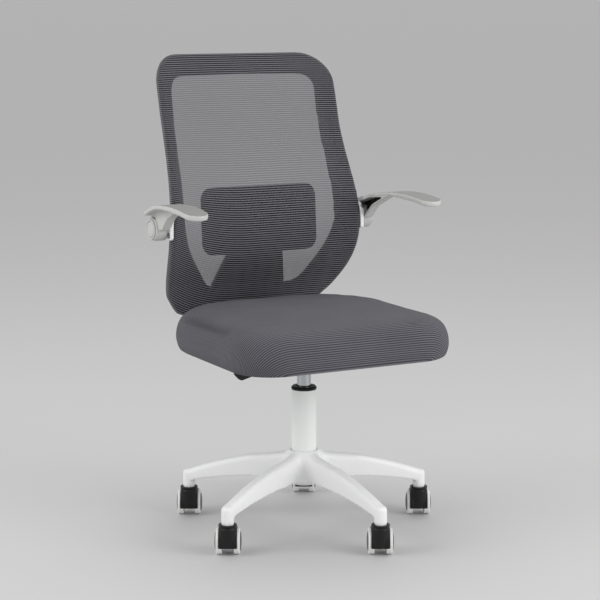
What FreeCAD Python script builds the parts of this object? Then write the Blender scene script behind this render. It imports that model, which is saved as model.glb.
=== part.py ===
import FreeCAD, Part
import math
import os
import re

import Sketcher
from FreeCAD import Placement, Rotation, Vector

# Office chair with a mesh back, flip-up arms and a gas lift on a five-leg base.
# Millimetres, +Z up. The sitter faces -Y and +X is the sitter's left.
# The origin is on the floor, on the axis of the column.

doc = FreeCAD.newDocument("office_chair")
sheet = doc.addObject("Spreadsheet::Sheet", "Sizes")

# Driving dimensions, in millimetres, degrees or shares of another size
SIZES = {
    # Clearances
    "run_gap": 0.05,
    "face_gap": 0.3,
    "bolt_gap": 0.1,
    # Casters
    "caster_turn": -28,
    "caster_trail": 12,
    "wheel_diameter": 50,
    "tyre_thickness": 5,
    "tyre_bevel": 1.5,
    "wheel_inner": 11.4,
    "wheel_width": 11.6,
    "disc_dome": 3,
    "disc_shoulder_share": 0.75,
    "disc_flat_share": 0.4,
    "dome_shoulder_share": 0.7,
    "wheel_clearance": 1,
    "hood_wall": 2.5,
    "hood_width": 36.6,
    "hood_bottom": 16,
    "hood_open_height": 36,
    "hood_open_reach": 8,
    "neck_diameter": 36,
    "neck_rise": 8.5,
    "neck_height": 44,
    "neck_recess": 5,
    "neck_recess_room": 1,
    "stem_diameter": 11,
    "stem_sink": 26,
    "stem_reach": 24,
    "stem_flange_diameter": 19,
    "axle_diameter": 6,
    "axle_inset": 1,
    # Star base
    "leg_count": 5,
    "first_leg_angle": 62,
    "caster_circle": 249,
    "socket_diameter": 25,
    "socket_sink": 2,
    "socket_depth": 14,
    "socket_crown": 8,
    "leg_tip_width": 24,
    "leg_tip_height": 24,
    "leg_arch_reach": 162,
    "leg_arch_width": 25,
    "leg_arch_rise": 17,
    "leg_arch_height": 37,
    "leg_root_width": 29,
    "leg_root_height": 57,
    "leg_bevel": 4,
    "leg_wall": 3.5,
    "leg_roof": 7,
    "hub_rise": 24,
    "hub_height": 62,
    "hub_top_radius": 31,
    "hub_bottom_radius": 46,
    # Gas lift
    "column_diameter": 50,
    "column_wall": 2,
    "column_length": 193,
    "column_sink": 8,
    "floor_recess": 4,
    "floor_thickness": 4,
    "bearing_diameter": 24,
    "bearing_height": 6,
    "rod_end_diameter": 8,
    "rod_diameter": 10,
    "rod_collar_diameter": 18,
    "rod_collar_height": 4,
    "clip_diameter": 15,
    "clip_thickness": 1.6,
    "piston_height": 14,
    "piston_headroom": 22,
    "bush_length": 80,
    "collar_height": 7,
    "collar_overhang": 0.5,
    "collar_foot_share": 0.25,
    "collar_brim_share": 0.6,
    "collar_dish_share": 0.5,
    "lift_diameter": 28,
    "lift_wall": 2,
    "lift_length": 232,
    "lift_rest_gap": 4,
    "lift_cap": 8,
    "lift_taper": 1,
    "taper_length": 22,
    "button_diameter": 8,
    "button_height": 10,
    "button_stand": 4,
    # Mechanism under the seat
    "headroom": 20,
    "plate_width": 156,
    "plate_front": -88,
    "plate_rear": 82,
    "plate_thickness": 3,
    "box_half_width": 38,
    "box_half_length": 40,
    "box_wall": 2.5,
    "socket_tube_diameter": 40,
    "lever_wire": 7,
    "lever_bend": 21,
    "lever_pivot_reach": 28,
    "lever_bend_reach": 58,
    "lever_reach": 108,
    "lever_drop": 17,
    "lever_pin_diameter": 4,
    "lever_pin_length": 30,
    "lever_eye": 12,
    "lever_ear_thickness": 3,
    "lever_slot": 13,
    "paddle_length": 60,
    "paddle_overlap": 14,
    "paddle_tip_reach": 48,
    "paddle_tip_drop": 21,
    "paddle_slope": 2,
    "paddle_tip_radius": 8,
    "paddle_corner": 4,
    "paddle_thickness": 9,
    "paddle_height": 17,
    # Seat
    "seat_half_width": 236.4,
    "seat_front": -233,
    "seat_rear": 224.7,
    "seat_front_corner": 87,
    "seat_rear_corner": 155,
    "seat_foot_inset": 10,
    "seat_foot_height": 17.7,
    "seat_rise": 62.3,
    "seat_roll": 49,
    "seat_crown": 4,
    "board_inset": 30,
    "board_thickness": 12,
    # Back: rise of six levels, each above the one before, with their half width, lean and dish
    "back_foot_rise": 41,
    "back_foot_half_width": 160,
    "back_foot_gap": 29.3,
    "back_foot_dish": 5,
    "back_waist_rise": 85,
    "back_waist_half_width": 204.5,
    "back_waist_lean": 59,
    "back_waist_dish": 12,
    "back_lumbar_rise": 100,
    "back_lumbar_half_width": 214.6,
    "back_lumbar_lean": 107,
    "back_lumbar_dish": 29,
    "back_chest_rise": 100,
    "back_chest_half_width": 206.8,
    "back_chest_lean": 86,
    "back_chest_dish": 30,
    "back_shoulder_rise": 125,
    "back_shoulder_half_width": 200.5,
    "back_shoulder_lean": 36,
    "back_shoulder_dish": 29,
    "back_crest_rise": 125,
    "back_crest_half_width": 199.5,
    "back_crest_lean": -20,
    "back_crest_dish": 24,
    "back_wing": 110,
    "back_depth": 18,
    "crest_corner": 62,
    "foot_corner": 14,
    "foot_taper": 6,
    "rim_crest": 47,
    "rim_side": 38,
    "rim_lumbar": 39,
    "rim_foot": 62,
    "rim_foot_side": 62,
    "opening_bend_drop": 20,
    "opening_crest_corner": 24,
    "opening_bend_radius": 150,
    "opening_foot_corner": 20,
    "mesh_gap": 0.3,
    "mesh_thickness": 2.2,
    # Lumbar pad
    "pad_rise": 177,
    "pad_half_width": 133,
    "pad_height": 136,
    "pad_corner": 24,
    "pad_thickness": 20,
    "pad_setback": 5,
    "pad_edge": 7,
    # Back bar
    "bar_start_gap": 10,
    "bar_thickness": 12,
    "bar_foot_half_width": 55,
    "bar_flare_rise": 57,
    "bar_flare_half_width": 84,
    "bar_knee_half_width": 61,
    "bar_head_half_width": 105,
    "bar_head_margin": 14,
    "bar_corner": 12,
    "bar_contact_rise": 30,
    "bar_bite": 3,
    "bar_toe_radius": 4,
    "bar_heel_radius": 42,
    "bar_knee_radius": 60,
    # Arms
    "arm_rise": 235,
    "arm_setback": 16,
    "bracket_thickness": 8,
    "bracket_hook": 12,
    "bracket_rise": 33,
    "bracket_fall": 21,
    "bracket_reach": 25,
    "bracket_front_inset": 2,
    "bracket_toe_radius": 4,
    "bracket_heel_radius": 20,
    "hub_diameter": 48,
    "hub_width": 26,
    "hub_gap": 0.5,
    "hub_cup_diameter": 22,
    "hub_cup_depth": 7,
    "pivot_diameter": 12,
    "pivot_head_diameter": 20,
    "pivot_head_thickness": 4,
    "cap_diameter": 42,
    "cap_thickness": 3.5,
    "cap_edge": 2,
    "arm_reach": 255,
    "arm_overhang": 20,
    "arm_end_spare": 5,
    "arm_tip_rise": 53.5,
    "arm_crest_rise": 61.5,
    "arm_tail_rise": 31,
    "arm_pad_thickness": 8,
    "arm_tip_thickness": 8,
    "arm_pad_width": 59,
    "arm_tip_inset": 13,
    "arm_pad_taper": 24,
    "arm_tip_corner": 23,
    "arm_tail_corner": 8,
    "arm_side_radius": 70,
    "arm_web_width": 20,
    "arm_web_reach": 135,
    "arm_web_crest": 58,
    "arm_web_rear": 21,
    "arm_web_tail": 15,
    "arm_web_front": 33,
    "arm_web_shoulder": 50,
    "arm_shoulder_rise": 48,
    "arm_web_waist": 63,
    "arm_waist_rise": 28,
    "arm_waist_radius": 50,
    "arm_recess_depth": 9,
    "arm_recess_rim": 4,
    # Bolts
    "bolt_diameter": 6,
    "bolt_head_diameter": 12,
    "bolt_head_height": 4,
    "bolt_grip": 10,
    "seat_bolt_margin": 20,
    "seat_bolt_inset": 15,
    "bar_bolt_x": 36,
    "bar_bolt_inset": 24,
    "frame_bolt_x": 46,
    "frame_bolt_rise": 29,
    "bracket_bolt_fall": 12,
    "bracket_bolt_rise": 22,
    "bracket_bolt_depth": 9,
}

# Levels and places worked out from the driving dimensions, from the floor up
DERIVED = {
    "axle_level": "wheel_diameter / 2",
    "wheel_outer": "wheel_inner + wheel_width",
    "disc_radius": "wheel_diameter / 2 - tyre_thickness",
    "axle_length": "2 * wheel_outer - 2 * axle_inset",
    "hood_top": "wheel_diameter + wheel_clearance + hood_wall + neck_rise",
    "stem_bottom": "hood_top - stem_sink",
    "stem_flange_foot": "hood_top - neck_recess",
    "socket_bottom": "hood_top - socket_sink",
    "stem_top": "socket_bottom + stem_reach",
    "leg_tip_bottom": "socket_bottom + socket_depth",
    "leg_tip_top": "leg_tip_bottom + leg_tip_height",
    "leg_arch_bottom": "leg_tip_bottom + leg_arch_rise",
    "leg_arch_top": "leg_arch_bottom + leg_arch_height",
    "hub_bottom": "leg_tip_bottom + hub_rise",
    "hub_top": "hub_bottom + hub_height",
    "leg_root_top": "hub_bottom + leg_root_height",
    "column_foot": "hub_bottom - column_sink",
    "column_floor": "column_foot + floor_recess",
    "column_top": "column_foot + column_length",
    "column_bore": "column_diameter / 2 - column_wall",
    "floor_top": "column_floor + floor_thickness",
    "bearing_top": "floor_top + bearing_height",
    "rod_collar_foot": "bearing_top + run_gap",
    "rod_collar_top": "rod_collar_foot + rod_collar_height",
    "rod_hole": "rod_end_diameter / 2 + bolt_gap",
    "clip_top": "column_floor - run_gap",
    "clip_foot": "clip_top - clip_thickness",
    "lift_bottom": "rod_collar_top + lift_rest_gap",
    "lift_top": "lift_bottom + lift_length",
    "lift_bore": "lift_diameter / 2 - lift_wall",
    "piston_level": "lift_top - lift_cap - piston_height - piston_headroom",
    "button_top": "lift_top + button_stand",
    "box_bottom": "lift_top - taper_length",
    "seat_bottom": "lift_top + headroom",
    "plate_bottom": "seat_bottom - plate_thickness",
    "lever_level": "button_top + lever_wire / 2 + run_gap",
    "seat_bolt_x": "plate_width / 2 - seat_bolt_margin",
    "seat_bolt_front": "plate_front + seat_bolt_inset",
    "seat_bolt_rear": "plate_rear - seat_bolt_inset",
    "seat_girth": "seat_bottom + seat_foot_height",
    "seat_shoulder": "seat_girth + seat_rise",
    "board_rear": "seat_rear - board_inset",
    "bar_front": "plate_rear + bar_start_gap",
    "bar_floor": "seat_bottom - bar_thickness",
    "bar_bolt_front": "bar_front + bar_bolt_inset",
    "bar_bolt_rear": "board_rear - bar_bolt_inset",
    "back_foot_height": "seat_bottom + back_foot_rise",
    "back_waist_height": "back_foot_height + back_waist_rise",
    "back_lumbar_height": "back_waist_height + back_lumbar_rise",
    "back_chest_height": "back_lumbar_height + back_chest_rise",
    "back_shoulder_height": "back_chest_height + back_shoulder_rise",
    "back_crest_height": "back_shoulder_height + back_crest_rise",
    "back_foot_edge": "seat_rear + back_foot_gap",
    "back_waist_edge": "back_foot_edge - back_waist_lean",
    "back_lumbar_edge": "back_foot_edge - back_lumbar_lean",
    "back_chest_edge": "back_foot_edge - back_chest_lean",
    "back_shoulder_edge": "back_foot_edge - back_shoulder_lean",
    "back_crest_edge": "back_foot_edge - back_crest_lean",
    "opening_bend_height": "back_lumbar_height - opening_bend_drop",
    "pad_bottom": "seat_bottom + pad_rise",
    "pad_top": "pad_bottom + pad_height",
    "bar_head_bottom": "pad_bottom + bar_head_margin",
    "bar_contact_height": "back_foot_height + bar_contact_rise",
    "bar_flare_height": "back_foot_height + bar_flare_rise",
    "frame_bolt_height": "back_foot_height + frame_bolt_rise",
    "arm_height": "seat_bottom + arm_rise",
    "bracket_bolt_low": "arm_height - bracket_bolt_fall",
    "bracket_bolt_high": "arm_height + bracket_bolt_rise",
}

for row, (alias, value) in enumerate(SIZES.items(), start=1):
    sheet.set(f"A{row}", alias)
    sheet.set(f"B{row}", str(value))
    sheet.setAlias(f"B{row}", alias)
doc.recompute()

nodes = {}


def cells(expression):
    """Expression with every word replaced by the sheet's cells that it stands for."""
    def cell(word):
        name = word.group()
        return f"({cells(DERIVED[name])})" if name in DERIVED else f"Sizes.{name}"
    return re.sub(r"[a-z_]+", cell, expression)


def size(expression):
    """Number that a size, a level or an expression of them has now."""
    return float(sheet.evalExpression(cells(expression)))


def keep(label, part, place=None):
    """Make a document object a named piece of the chair."""
    part.Label = label
    if place is not None:
        part.Placement = place
    nodes[label] = part
    return part


def bind(part, **expressions):
    """Tie properties of an object to the sheet."""
    for name, expression in expressions.items():
        part.setExpression(name, cells(expression))


def move(part, x="0", y="0", z="0"):
    """Tie an object's place to the sheet."""
    for axis, expression in (("x", x), ("y", y), ("z", z)):
        part.setExpression(f"Placement.Base.{axis}", cells(expression))
    return part


TURN_TO = {
    "Z": Rotation(),
    "X": Rotation(Vector(0, 1, 0), 90),
    "Y": Rotation(Vector(1, 0, 0), -90),
}


def rod(name, diameter, length, axis="Z", **place):
    """Round bar that starts at its place and runs along an axis."""
    part = doc.addObject("Part::Cylinder", name)
    bind(part, Radius=f"({diameter}) / 2", Height=length)
    part.Placement = Placement(Vector(), TURN_TO[axis])
    return move(part, **place)


def block(name, length, width, height, **place):
    """Rectangular block from its lowest corner."""
    part = doc.addObject("Part::Box", name)
    bind(part, Length=length, Width=width, Height=height)
    return move(part, **place)


def fused(name, *parts):
    part = doc.addObject("Part::MultiFuse", name)
    part.Shapes = list(parts)
    return part


def less(name, base, *tools):
    """Base with one or more tools cut away."""
    part = doc.addObject("Part::Cut", name)
    part.Base = base
    part.Tool = tools[0] if len(tools) == 1 else fused(f"{name}_tools", *tools)
    return part


def group(name, *parts):
    """Several separate solids as one piece."""
    part = doc.addObject("Part::Compound", name)
    part.Links = list(parts)
    return part


def solid(name, shape):
    """Piece whose shape is made from curves and lofts."""
    part = doc.addObject("Part::Feature", name)
    part.Shape = shape
    return part


def turned(name, profile):
    """Body turned about Z from a closed profile of (radius, height) expressions."""
    body = doc.addObject("PartDesign::Body", name)
    sketch = body.newObject("Sketcher::SketchObject", f"{name}_profile")
    planes = {plane.Role: plane for plane in body.Origin.OriginFeatures}
    sketch.AttachmentSupport = [(planes["XZ_Plane"], "")]
    sketch.MapMode = "FlatFace"
    corners = [(size(radius), size(height)) for radius, height in profile]
    count = len(corners)
    for index in range(count):
        start = Vector(*corners[index], 0)
        end = Vector(*corners[(index + 1) % count], 0)
        sketch.addGeometry(Part.LineSegment(start, end))
    for index in range(count):
        sketch.addConstraint(Sketcher.Constraint("Coincident", index, 2, (index + 1) % count, 1))
    for index, (corner, pair) in enumerate(zip(corners, profile)):
        for kind, value, expression in zip(("DistanceX", "DistanceY"), corner, pair):
            number = sketch.addConstraint(Sketcher.Constraint(kind, -1, 1, index, 1, value))
            sketch.setExpression(f"Constraints[{number}]", cells(expression))
    turn = body.newObject("PartDesign::Revolution", f"{name}_turn")
    turn.Profile = sketch
    turn.ReferenceAxis = (sketch, ["V_Axis"])
    turn.Angle = 360
    return body


def rounded_wire(corners, to_space):
    """Closed wire of straight runs and corner arcs through (u, v, radius) corners."""
    spans = []
    for index, (u, v, radius) in enumerate(corners):
        at = Vector(u, v, 0)
        before = Vector(*corners[index - 1][:2], 0)
        after = Vector(*corners[(index + 1) % len(corners)][:2], 0)
        back = (before - at).normalize()
        ahead = (after - at).normalize()
        half = back.getAngle(ahead) / 2
        reach = radius / math.tan(half)
        middle = at + (back + ahead).normalize() * (radius / math.sin(half) - radius)
        spans.append((at + back * reach, middle, at + ahead * reach, radius))
    edges = []
    for index, (start, middle, end, radius) in enumerate(spans):
        if radius > 0:
            points = [to_space(point.x, point.y) for point in (start, middle, end)]
            edges.append(Part.Arc(*points).toShape())
        following = spans[(index + 1) % len(spans)][0]
        if (following - end).Length > 1e-6:
            edges.append(Part.LineSegment(to_space(end.x, end.y), to_space(following.x, following.y)).toShape())
    return Part.Wire(edges)


def prism(corners, to_space, along):
    """Straight solid of a rounded outline."""
    return Part.Face(rounded_wire(corners, to_space)).extrude(along)


def seen_from_front(depth):
    return lambda x, z: Vector(x, depth, z)


def seen_from_side(x):
    return lambda y, z: Vector(x, y, z)


def seen_from_above(z):
    return lambda x, y: Vector(x, y, z)


def both_sides(half):
    """Mirror the corners of a right-hand half outline to close it on the left."""
    return half + [(-u, v, radius) for u, v, radius in reversed(half)]


# Star base: a coned hub, five tall slim legs and a round stem socket under each tip
def leg_section(reach, width, top, bottom, bevel):
    half = width / 2
    outline = [(-half, bottom), (half, bottom), (half, top - 2 * bevel), (half - bevel, top)]
    outline += [(bevel - half, top), (-half, top - 2 * bevel)]
    points = [Vector(reach, across, height) for across, height in outline]
    return Part.makePolygon(points + points[:1])


def leg_shape(wall=0, roof=0):
    """Leg along +X through three sections, or its hollow when given a wall and a roof."""
    sections = (
        ("hub_top_radius", "leg_root_width", "leg_root_top", "hub_bottom"),
        ("leg_arch_reach", "leg_arch_width", "leg_arch_top", "leg_arch_bottom"),
        ("caster_circle", "leg_tip_width", "leg_tip_top", "leg_tip_bottom"),
    )
    wires = []
    for reach, width, top, bottom in sections:
        wires.append(leg_section(size(reach), size(width) - 2 * wall, size(top) - roof,
                                 size(bottom) - wall, size("leg_bevel")))
    return Part.makeLoft(wires, True, False)


def leg_with_socket():
    height = size("leg_tip_top - socket_bottom")
    socket = Part.makeCylinder(size("socket_diameter") / 2, height,
                               Vector(size("caster_circle"), 0, size("socket_bottom")))
    rim = [edge for edge in socket.Edges if edge.BoundBox.ZMin > size("leg_tip_bottom")]
    socket = socket.makeFillet(size("socket_crown"), rim)
    hollow = leg_shape(size("leg_wall"), size("leg_roof"))
    core = Part.makeCylinder(size("hub_bottom_radius"), size("hub_top")).fuse(socket)
    return leg_shape().cut(hollow.cut(core)).fuse(socket)


def leg_angles():
    count = int(size("leg_count"))
    return [size("first_leg_angle") + 360 * index / count for index in range(count)]


def star_base():
    hub = Part.makeCone(size("hub_bottom_radius"), size("hub_top_radius"), size("hub_height"),
                        Vector(0, 0, size("hub_bottom")))
    leg = leg_with_socket()
    stem_bore = Part.makeCylinder(size("stem_diameter / 2 + run_gap"), size("stem_reach + face_gap"),
                                  Vector(size("caster_circle"), 0, size("socket_bottom")))
    legs = []
    bores = [Part.makeCylinder(size("column_diameter / 2"), size("hub_top"))]
    for angle in leg_angles():
        for source, copies in ((leg, legs), (stem_bore, bores)):
            copy = source.copy()
            copy.rotate(Vector(), Vector(0, 0, 1), angle)
            copies.append(copy)
    return hub.multiFuse(legs).cut(bores).removeSplitter()


keep("star_base", solid("star_base_shape", star_base()))


# Casters: a hood on a steel stem, with two wheels on one axle
def caster_place(angle):
    spot = Rotation(Vector(0, 0, 1), angle).multVec(Vector(size("caster_circle"), 0, 0))
    return Placement(spot, Rotation(Vector(0, 0, 1), size("caster_turn")))


def caster_hood(name):
    axle_line = dict(y="caster_trail", z="axle_level")
    drum = rod(f"{name}_drum", "wheel_diameter + 2 * wheel_clearance + 2 * hood_wall", "hood_width", "X",
               x="0 - hood_width / 2", **axle_line)
    neck = rod(f"{name}_neck", "neck_diameter", "neck_height", z="hood_top - neck_height")
    recess = rod(f"{name}_recess", "socket_diameter + 2 * neck_recess_room", "neck_recess",
                 z="stem_flange_foot")
    stem = rod(f"{name}_stem_bore", "stem_diameter", "stem_sink", z="stem_bottom")
    axle = rod(f"{name}_axle_bore", "axle_diameter", "hood_width", "X", x="0 - hood_width / 2", **axle_line)
    well_size = ("wheel_diameter + 2 * wheel_clearance", "hood_width", "X")
    well_right = rod(f"{name}_well_right", *well_size, x="wheel_inner - face_gap", **axle_line)
    well_left = rod(f"{name}_well_left", *well_size, x="face_gap - wheel_inner - hood_width", **axle_line)
    under = block(f"{name}_under", "hood_width", "3 * wheel_diameter", "wheel_diameter + hood_bottom",
                  x="0 - hood_width / 2", y="0 - wheel_diameter", z="0 - wheel_diameter")
    behind = block(f"{name}_behind", "hood_width", "wheel_diameter", "hood_open_height",
                   x="0 - hood_width / 2", y="caster_trail + hood_open_reach")
    return less(name, fused(f"{name}_body", drum, neck), recess, stem, axle,
                well_right, well_left, under, behind)


def caster_pins(name):
    flange_top = "socket_bottom - face_gap"
    stem = turned(f"{name}_stem", [
        ("0", "stem_bottom"),
        ("stem_diameter / 2", "stem_bottom"),
        ("stem_diameter / 2", "stem_flange_foot"),
        ("stem_flange_diameter / 2", "stem_flange_foot"),
        ("stem_flange_diameter / 2", flange_top),
        ("stem_diameter / 2", flange_top),
        ("stem_diameter / 2", "stem_top"),
        ("0", "stem_top"),
    ])
    axle = rod(f"{name}_axle", "axle_diameter", "axle_length", "X",
               x="0 - axle_length / 2", y="caster_trail", z="axle_level")
    return group(name, stem, axle)


def wheel_tyre(name):
    return turned(name, [
        ("disc_radius", "wheel_inner"),
        ("wheel_diameter / 2 - tyre_bevel", "wheel_inner"),
        ("wheel_diameter / 2", "wheel_inner + tyre_bevel"),
        ("wheel_diameter / 2", "wheel_outer - tyre_bevel"),
        ("wheel_diameter / 2 - tyre_bevel", "wheel_outer"),
        ("disc_radius", "wheel_outer"),
    ])


def wheel_disc(name):
    bore = "axle_diameter / 2 + run_gap"
    return turned(name, [
        (bore, "wheel_inner"),
        ("disc_radius", "wheel_inner"),
        ("disc_radius", "wheel_outer"),
        ("disc_radius * disc_shoulder_share", "wheel_outer + disc_dome * dome_shoulder_share"),
        ("disc_radius * disc_flat_share", "wheel_outer + disc_dome"),
        ("0", "wheel_outer + disc_dome"),
        ("0", "axle_length / 2 + face_gap"),
        (bore, "axle_length / 2 + face_gap"),
    ])


for number, angle in enumerate(leg_angles(), start=1):
    place = caster_place(angle)
    keep(f"caster_hood_{number}", caster_hood(f"hood_{number}"), place)
    keep(f"caster_pins_{number}", caster_pins(f"pins_{number}"), place)
    for side, turn in (("left", -90), ("right", 90)):
        axle_centre = Vector(0, size("caster_trail"), size("axle_level"))
        wheel_place = place.multiply(Placement(axle_centre, Rotation(Vector(0, 1, 0), turn)))
        keep(f"wheel_tyre_{number}_{side}", wheel_tyre(f"tyre_{number}_{side}"), wheel_place)
        keep(f"wheel_disc_{number}_{side}", wheel_disc(f"disc_{number}_{side}"), wheel_place)

# Gas lift: column tube, guide bush, thrust bearing, rod with its piston, and the sliding cylinder
keep("column_tube", turned("tube", [
    ("rod_hole", "column_floor"),
    ("column_bore", "column_floor"),
    ("column_bore", "column_foot"),
    ("column_diameter / 2", "column_foot"),
    ("column_diameter / 2", "column_top"),
    ("column_bore", "column_top"),
    ("column_bore", "floor_top"),
    ("rod_hole", "floor_top"),
]))

lift_run = "lift_diameter / 2 + run_gap"
collar_brim = "column_diameter / 2 + collar_overhang"
keep("column_bush", turned("bush", [
    (lift_run, "column_top - bush_length"),
    ("column_bore", "column_top - bush_length"),
    ("column_bore", "column_top"),
    ("column_diameter / 2", "column_top"),
    (collar_brim, "column_top + collar_height * collar_foot_share"),
    (collar_brim, "column_top + collar_height * collar_brim_share"),
    ("column_bore", "column_top + collar_height"),
    ("lift_diameter / 2 + column_wall", "column_top + collar_height"),
    (lift_run, "column_top + collar_height * collar_dish_share"),
]))

keep("thrust_bearing", turned("bearing", [
    ("rod_hole", "floor_top"),
    ("bearing_diameter / 2", "floor_top"),
    ("bearing_diameter / 2", "bearing_top"),
    ("rod_hole", "bearing_top"),
]))

piston_radius = "lift_bore - run_gap"
keep("piston_rod", turned("rod", [
    ("0", "clip_foot - clip_thickness"),
    ("rod_end_diameter / 2", "clip_foot - clip_thickness"),
    ("rod_end_diameter / 2", "rod_collar_foot"),
    ("rod_collar_diameter / 2", "rod_collar_foot"),
    ("rod_collar_diameter / 2", "rod_collar_top"),
    ("rod_diameter / 2", "rod_collar_top"),
    ("rod_diameter / 2", "piston_level"),
    (piston_radius, "piston_level"),
    (piston_radius, "piston_level + piston_height"),
    ("0", "piston_level + piston_height"),
]))

keep("rod_clip", turned("clip", [
    ("rod_end_diameter / 2", "clip_foot"),
    ("clip_diameter / 2", "clip_foot"),
    ("clip_diameter / 2", "clip_top"),
    ("rod_end_diameter / 2", "clip_top"),
]))

rod_run = "rod_diameter / 2 + run_gap"
button_run = "button_diameter / 2 + run_gap"
keep("lift_cylinder", turned("cylinder", [
    (rod_run, "lift_bottom"),
    ("lift_diameter / 2", "lift_bottom"),
    ("lift_diameter / 2", "box_bottom"),
    ("lift_diameter / 2 - lift_taper", "lift_top"),
    (button_run, "lift_top"),
    (button_run, "lift_top - lift_cap"),
    ("lift_bore", "lift_top - lift_cap"),
    ("lift_bore", "lift_bottom + lift_cap"),
    (rod_run, "lift_bottom + lift_cap"),
]))

keep("release_button", rod("button", "button_diameter", "button_height", z="button_top - button_height"))

# Mechanism plate: a pressed plate and box with the socket that sits on the cylinder's taper
box_height = "plate_bottom - box_bottom"
plate = block("plate_top", "plate_width", "plate_rear - plate_front", "plate_thickness",
              x="0 - plate_width / 2", y="plate_front", z="plate_bottom")
box = block("plate_box", "2 * box_half_width", "2 * box_half_length", box_height,
            x="0 - box_half_width", y="0 - box_half_length", z="box_bottom")
room = block("plate_room", "2 * box_half_width - 2 * box_wall", "2 * box_half_length - 2 * box_wall",
             f"{box_height} - box_wall",
             x="box_wall - box_half_width", y="box_wall - box_half_length", z="box_bottom + box_wall")
socket = rod("plate_socket", "socket_tube_diameter", "taper_length", z="box_bottom")
taper = turned("plate_taper", [
    ("0", "box_bottom"),
    ("lift_diameter / 2", "box_bottom"),
    ("lift_diameter / 2 - lift_taper", "lift_top"),
    ("0", "lift_top"),
])
slot = block("plate_slot", "2 * box_wall", "lever_slot", f"{box_height} - 2 * box_wall",
             x="0 - box_half_width - box_wall / 2", y="0 - lever_slot / 2", z="box_bottom + 2 * box_wall")
ears = []
for side, offset in (("front", "0 - lever_pin_length / 2"),
                     ("rear", "lever_pin_length / 2 - lever_ear_thickness")):
    ears.append(block(f"plate_ear_{side}", "2 * lever_pin_diameter", "lever_ear_thickness",
                      "lever_level + lever_pin_diameter - box_bottom",
                      x="0 - lever_pivot_reach - lever_pin_diameter", y=offset, z="box_bottom"))
pin_place = dict(x="0 - lever_pivot_reach", y="0 - lever_pin_length / 2", z="lever_level")
pin_bore = rod("plate_pin_bore", "lever_pin_diameter", "lever_pin_length", "Y", **pin_place)
bolt_holes = []
for index, (x, y) in enumerate((("seat_bolt_x", "seat_bolt_front"), ("seat_bolt_x", "seat_bolt_rear"),
                                ("0 - seat_bolt_x", "seat_bolt_front"), ("0 - seat_bolt_x", "seat_bolt_rear"))):
    bolt_holes.append(rod(f"plate_bolt_hole_{index}", "bolt_diameter + 2 * bolt_gap", "plate_thickness",
                          x=x, y=y, z="plate_bottom"))
shell = less("plate_shell", fused("plate_outside", plate, box), room)
keep("mechanism_plate", less("mechanism", fused("plate_welded", shell, socket, *ears),
                             taper, slot, pin_bore, *bolt_holes))

keep("lever_pin", rod("lever_pivot", "lever_pin_diameter", "lever_pin_length", "Y", **pin_place))


# Height lever: a bent wire from the button, over the pin, out through the slot and down to its paddle
def lever_path():
    level = size("lever_level")
    bend = size("lever_bend")
    inner_end = Vector(size("button_diameter") / 2, 0, level)
    corner = Vector(-size("lever_bend_reach"), 0, level)
    outer_end = Vector(-size("lever_reach"), 0, level - size("lever_drop"))
    inward = (inner_end - corner).normalize()
    outward = (outer_end - corner).normalize()
    half = inward.getAngle(outward) / 2
    reach = bend / math.tan(half)
    middle = corner + (inward + outward).normalize() * (bend / math.sin(half) - bend)
    arc = Part.Arc(corner + inward * reach, middle, corner + outward * reach)
    edges = [Part.LineSegment(inner_end, arc.StartPoint), arc, Part.LineSegment(arc.EndPoint, outer_end)]
    return Part.Wire([edge.toShape() for edge in edges]), inner_end, outer_end, outward


def height_lever():
    path, inner_end, outer_end, outward = lever_path()
    wire = size("lever_wire")
    circle = Part.Wire(Part.makeCircle(wire / 2, inner_end, Vector(1, 0, 0)))
    bar = path.makePipeShell([circle], True, False)
    pivot = Vector(-size("lever_pivot_reach"), 0, size("lever_level"))
    eye = Part.makeBox(size("lever_eye"), wire, wire, pivot - Vector(size("lever_eye"), wire, wire) / 2)
    bore = Part.makeCylinder(size("lever_pin_diameter / 2 + run_gap"), size("lever_pin_length"),
                             pivot - Vector(0, size("lever_pin_length") / 2, 0), Vector(0, 1, 0))
    return bar.fuse(eye).cut(bore)


def lever_paddle():
    """Flat grip around the wire's end, with its lowest point below the grip."""
    path, inner_end, outer_end, outward = lever_path()
    inner = outer_end.x + size("paddle_overlap")
    outer = inner - size("paddle_length")
    top = outer_end.z + size("paddle_height") / 2
    foot = outer_end.z - size("paddle_height") / 2
    corner = size("paddle_corner")
    corners = [
        (inner, top + size("paddle_slope"), corner),
        (outer, top - size("paddle_slope"), corner),
        (outer, foot, corner),
        (inner - size("paddle_tip_reach"), outer_end.z - size("paddle_tip_drop"), size("paddle_tip_radius")),
        (inner, foot, corner),
    ]
    thickness = size("paddle_thickness")
    grip = prism(corners, seen_from_front(-thickness / 2), Vector(0, thickness, 0))
    bore = Part.makeCylinder(size("lever_wire") / 2, size("lever_reach"), outer_end, outward * -1)
    return grip.cut(bore)


keep("height_lever", solid("lever_shape", height_lever()))
keep("lever_paddle", solid("paddle_shape", lever_paddle()))

# Seat: a board held in the foot of a foam cushion with rolled edges and a low crown.
# The roll is a quarter ellipse taken at shares of its height, and the crown goes on from it
# in steps of inset and height.
ROLL_SHARES = (0, 0.35, 0.65, 0.87, 0.97)
CROWN_STEPS = ((1.2, 0.36), (1.7, 0.66), (2.3, 0.88), (2.9, 0.99), (3.1, 1))


def seat_outline(inset, level):
    half = size("seat_half_width") - inset
    front = size("seat_front") + inset
    rear = size("seat_rear") - inset
    drawn_in = half / size("seat_half_width")
    front_corner = size("seat_front_corner") * drawn_in
    rear_corner = size("seat_rear_corner") * drawn_in
    corners = [(half, front, front_corner), (half, rear, rear_corner),
               (-half, rear, rear_corner), (-half, front, front_corner)]
    return rounded_wire(corners, seen_from_above(level))


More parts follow.
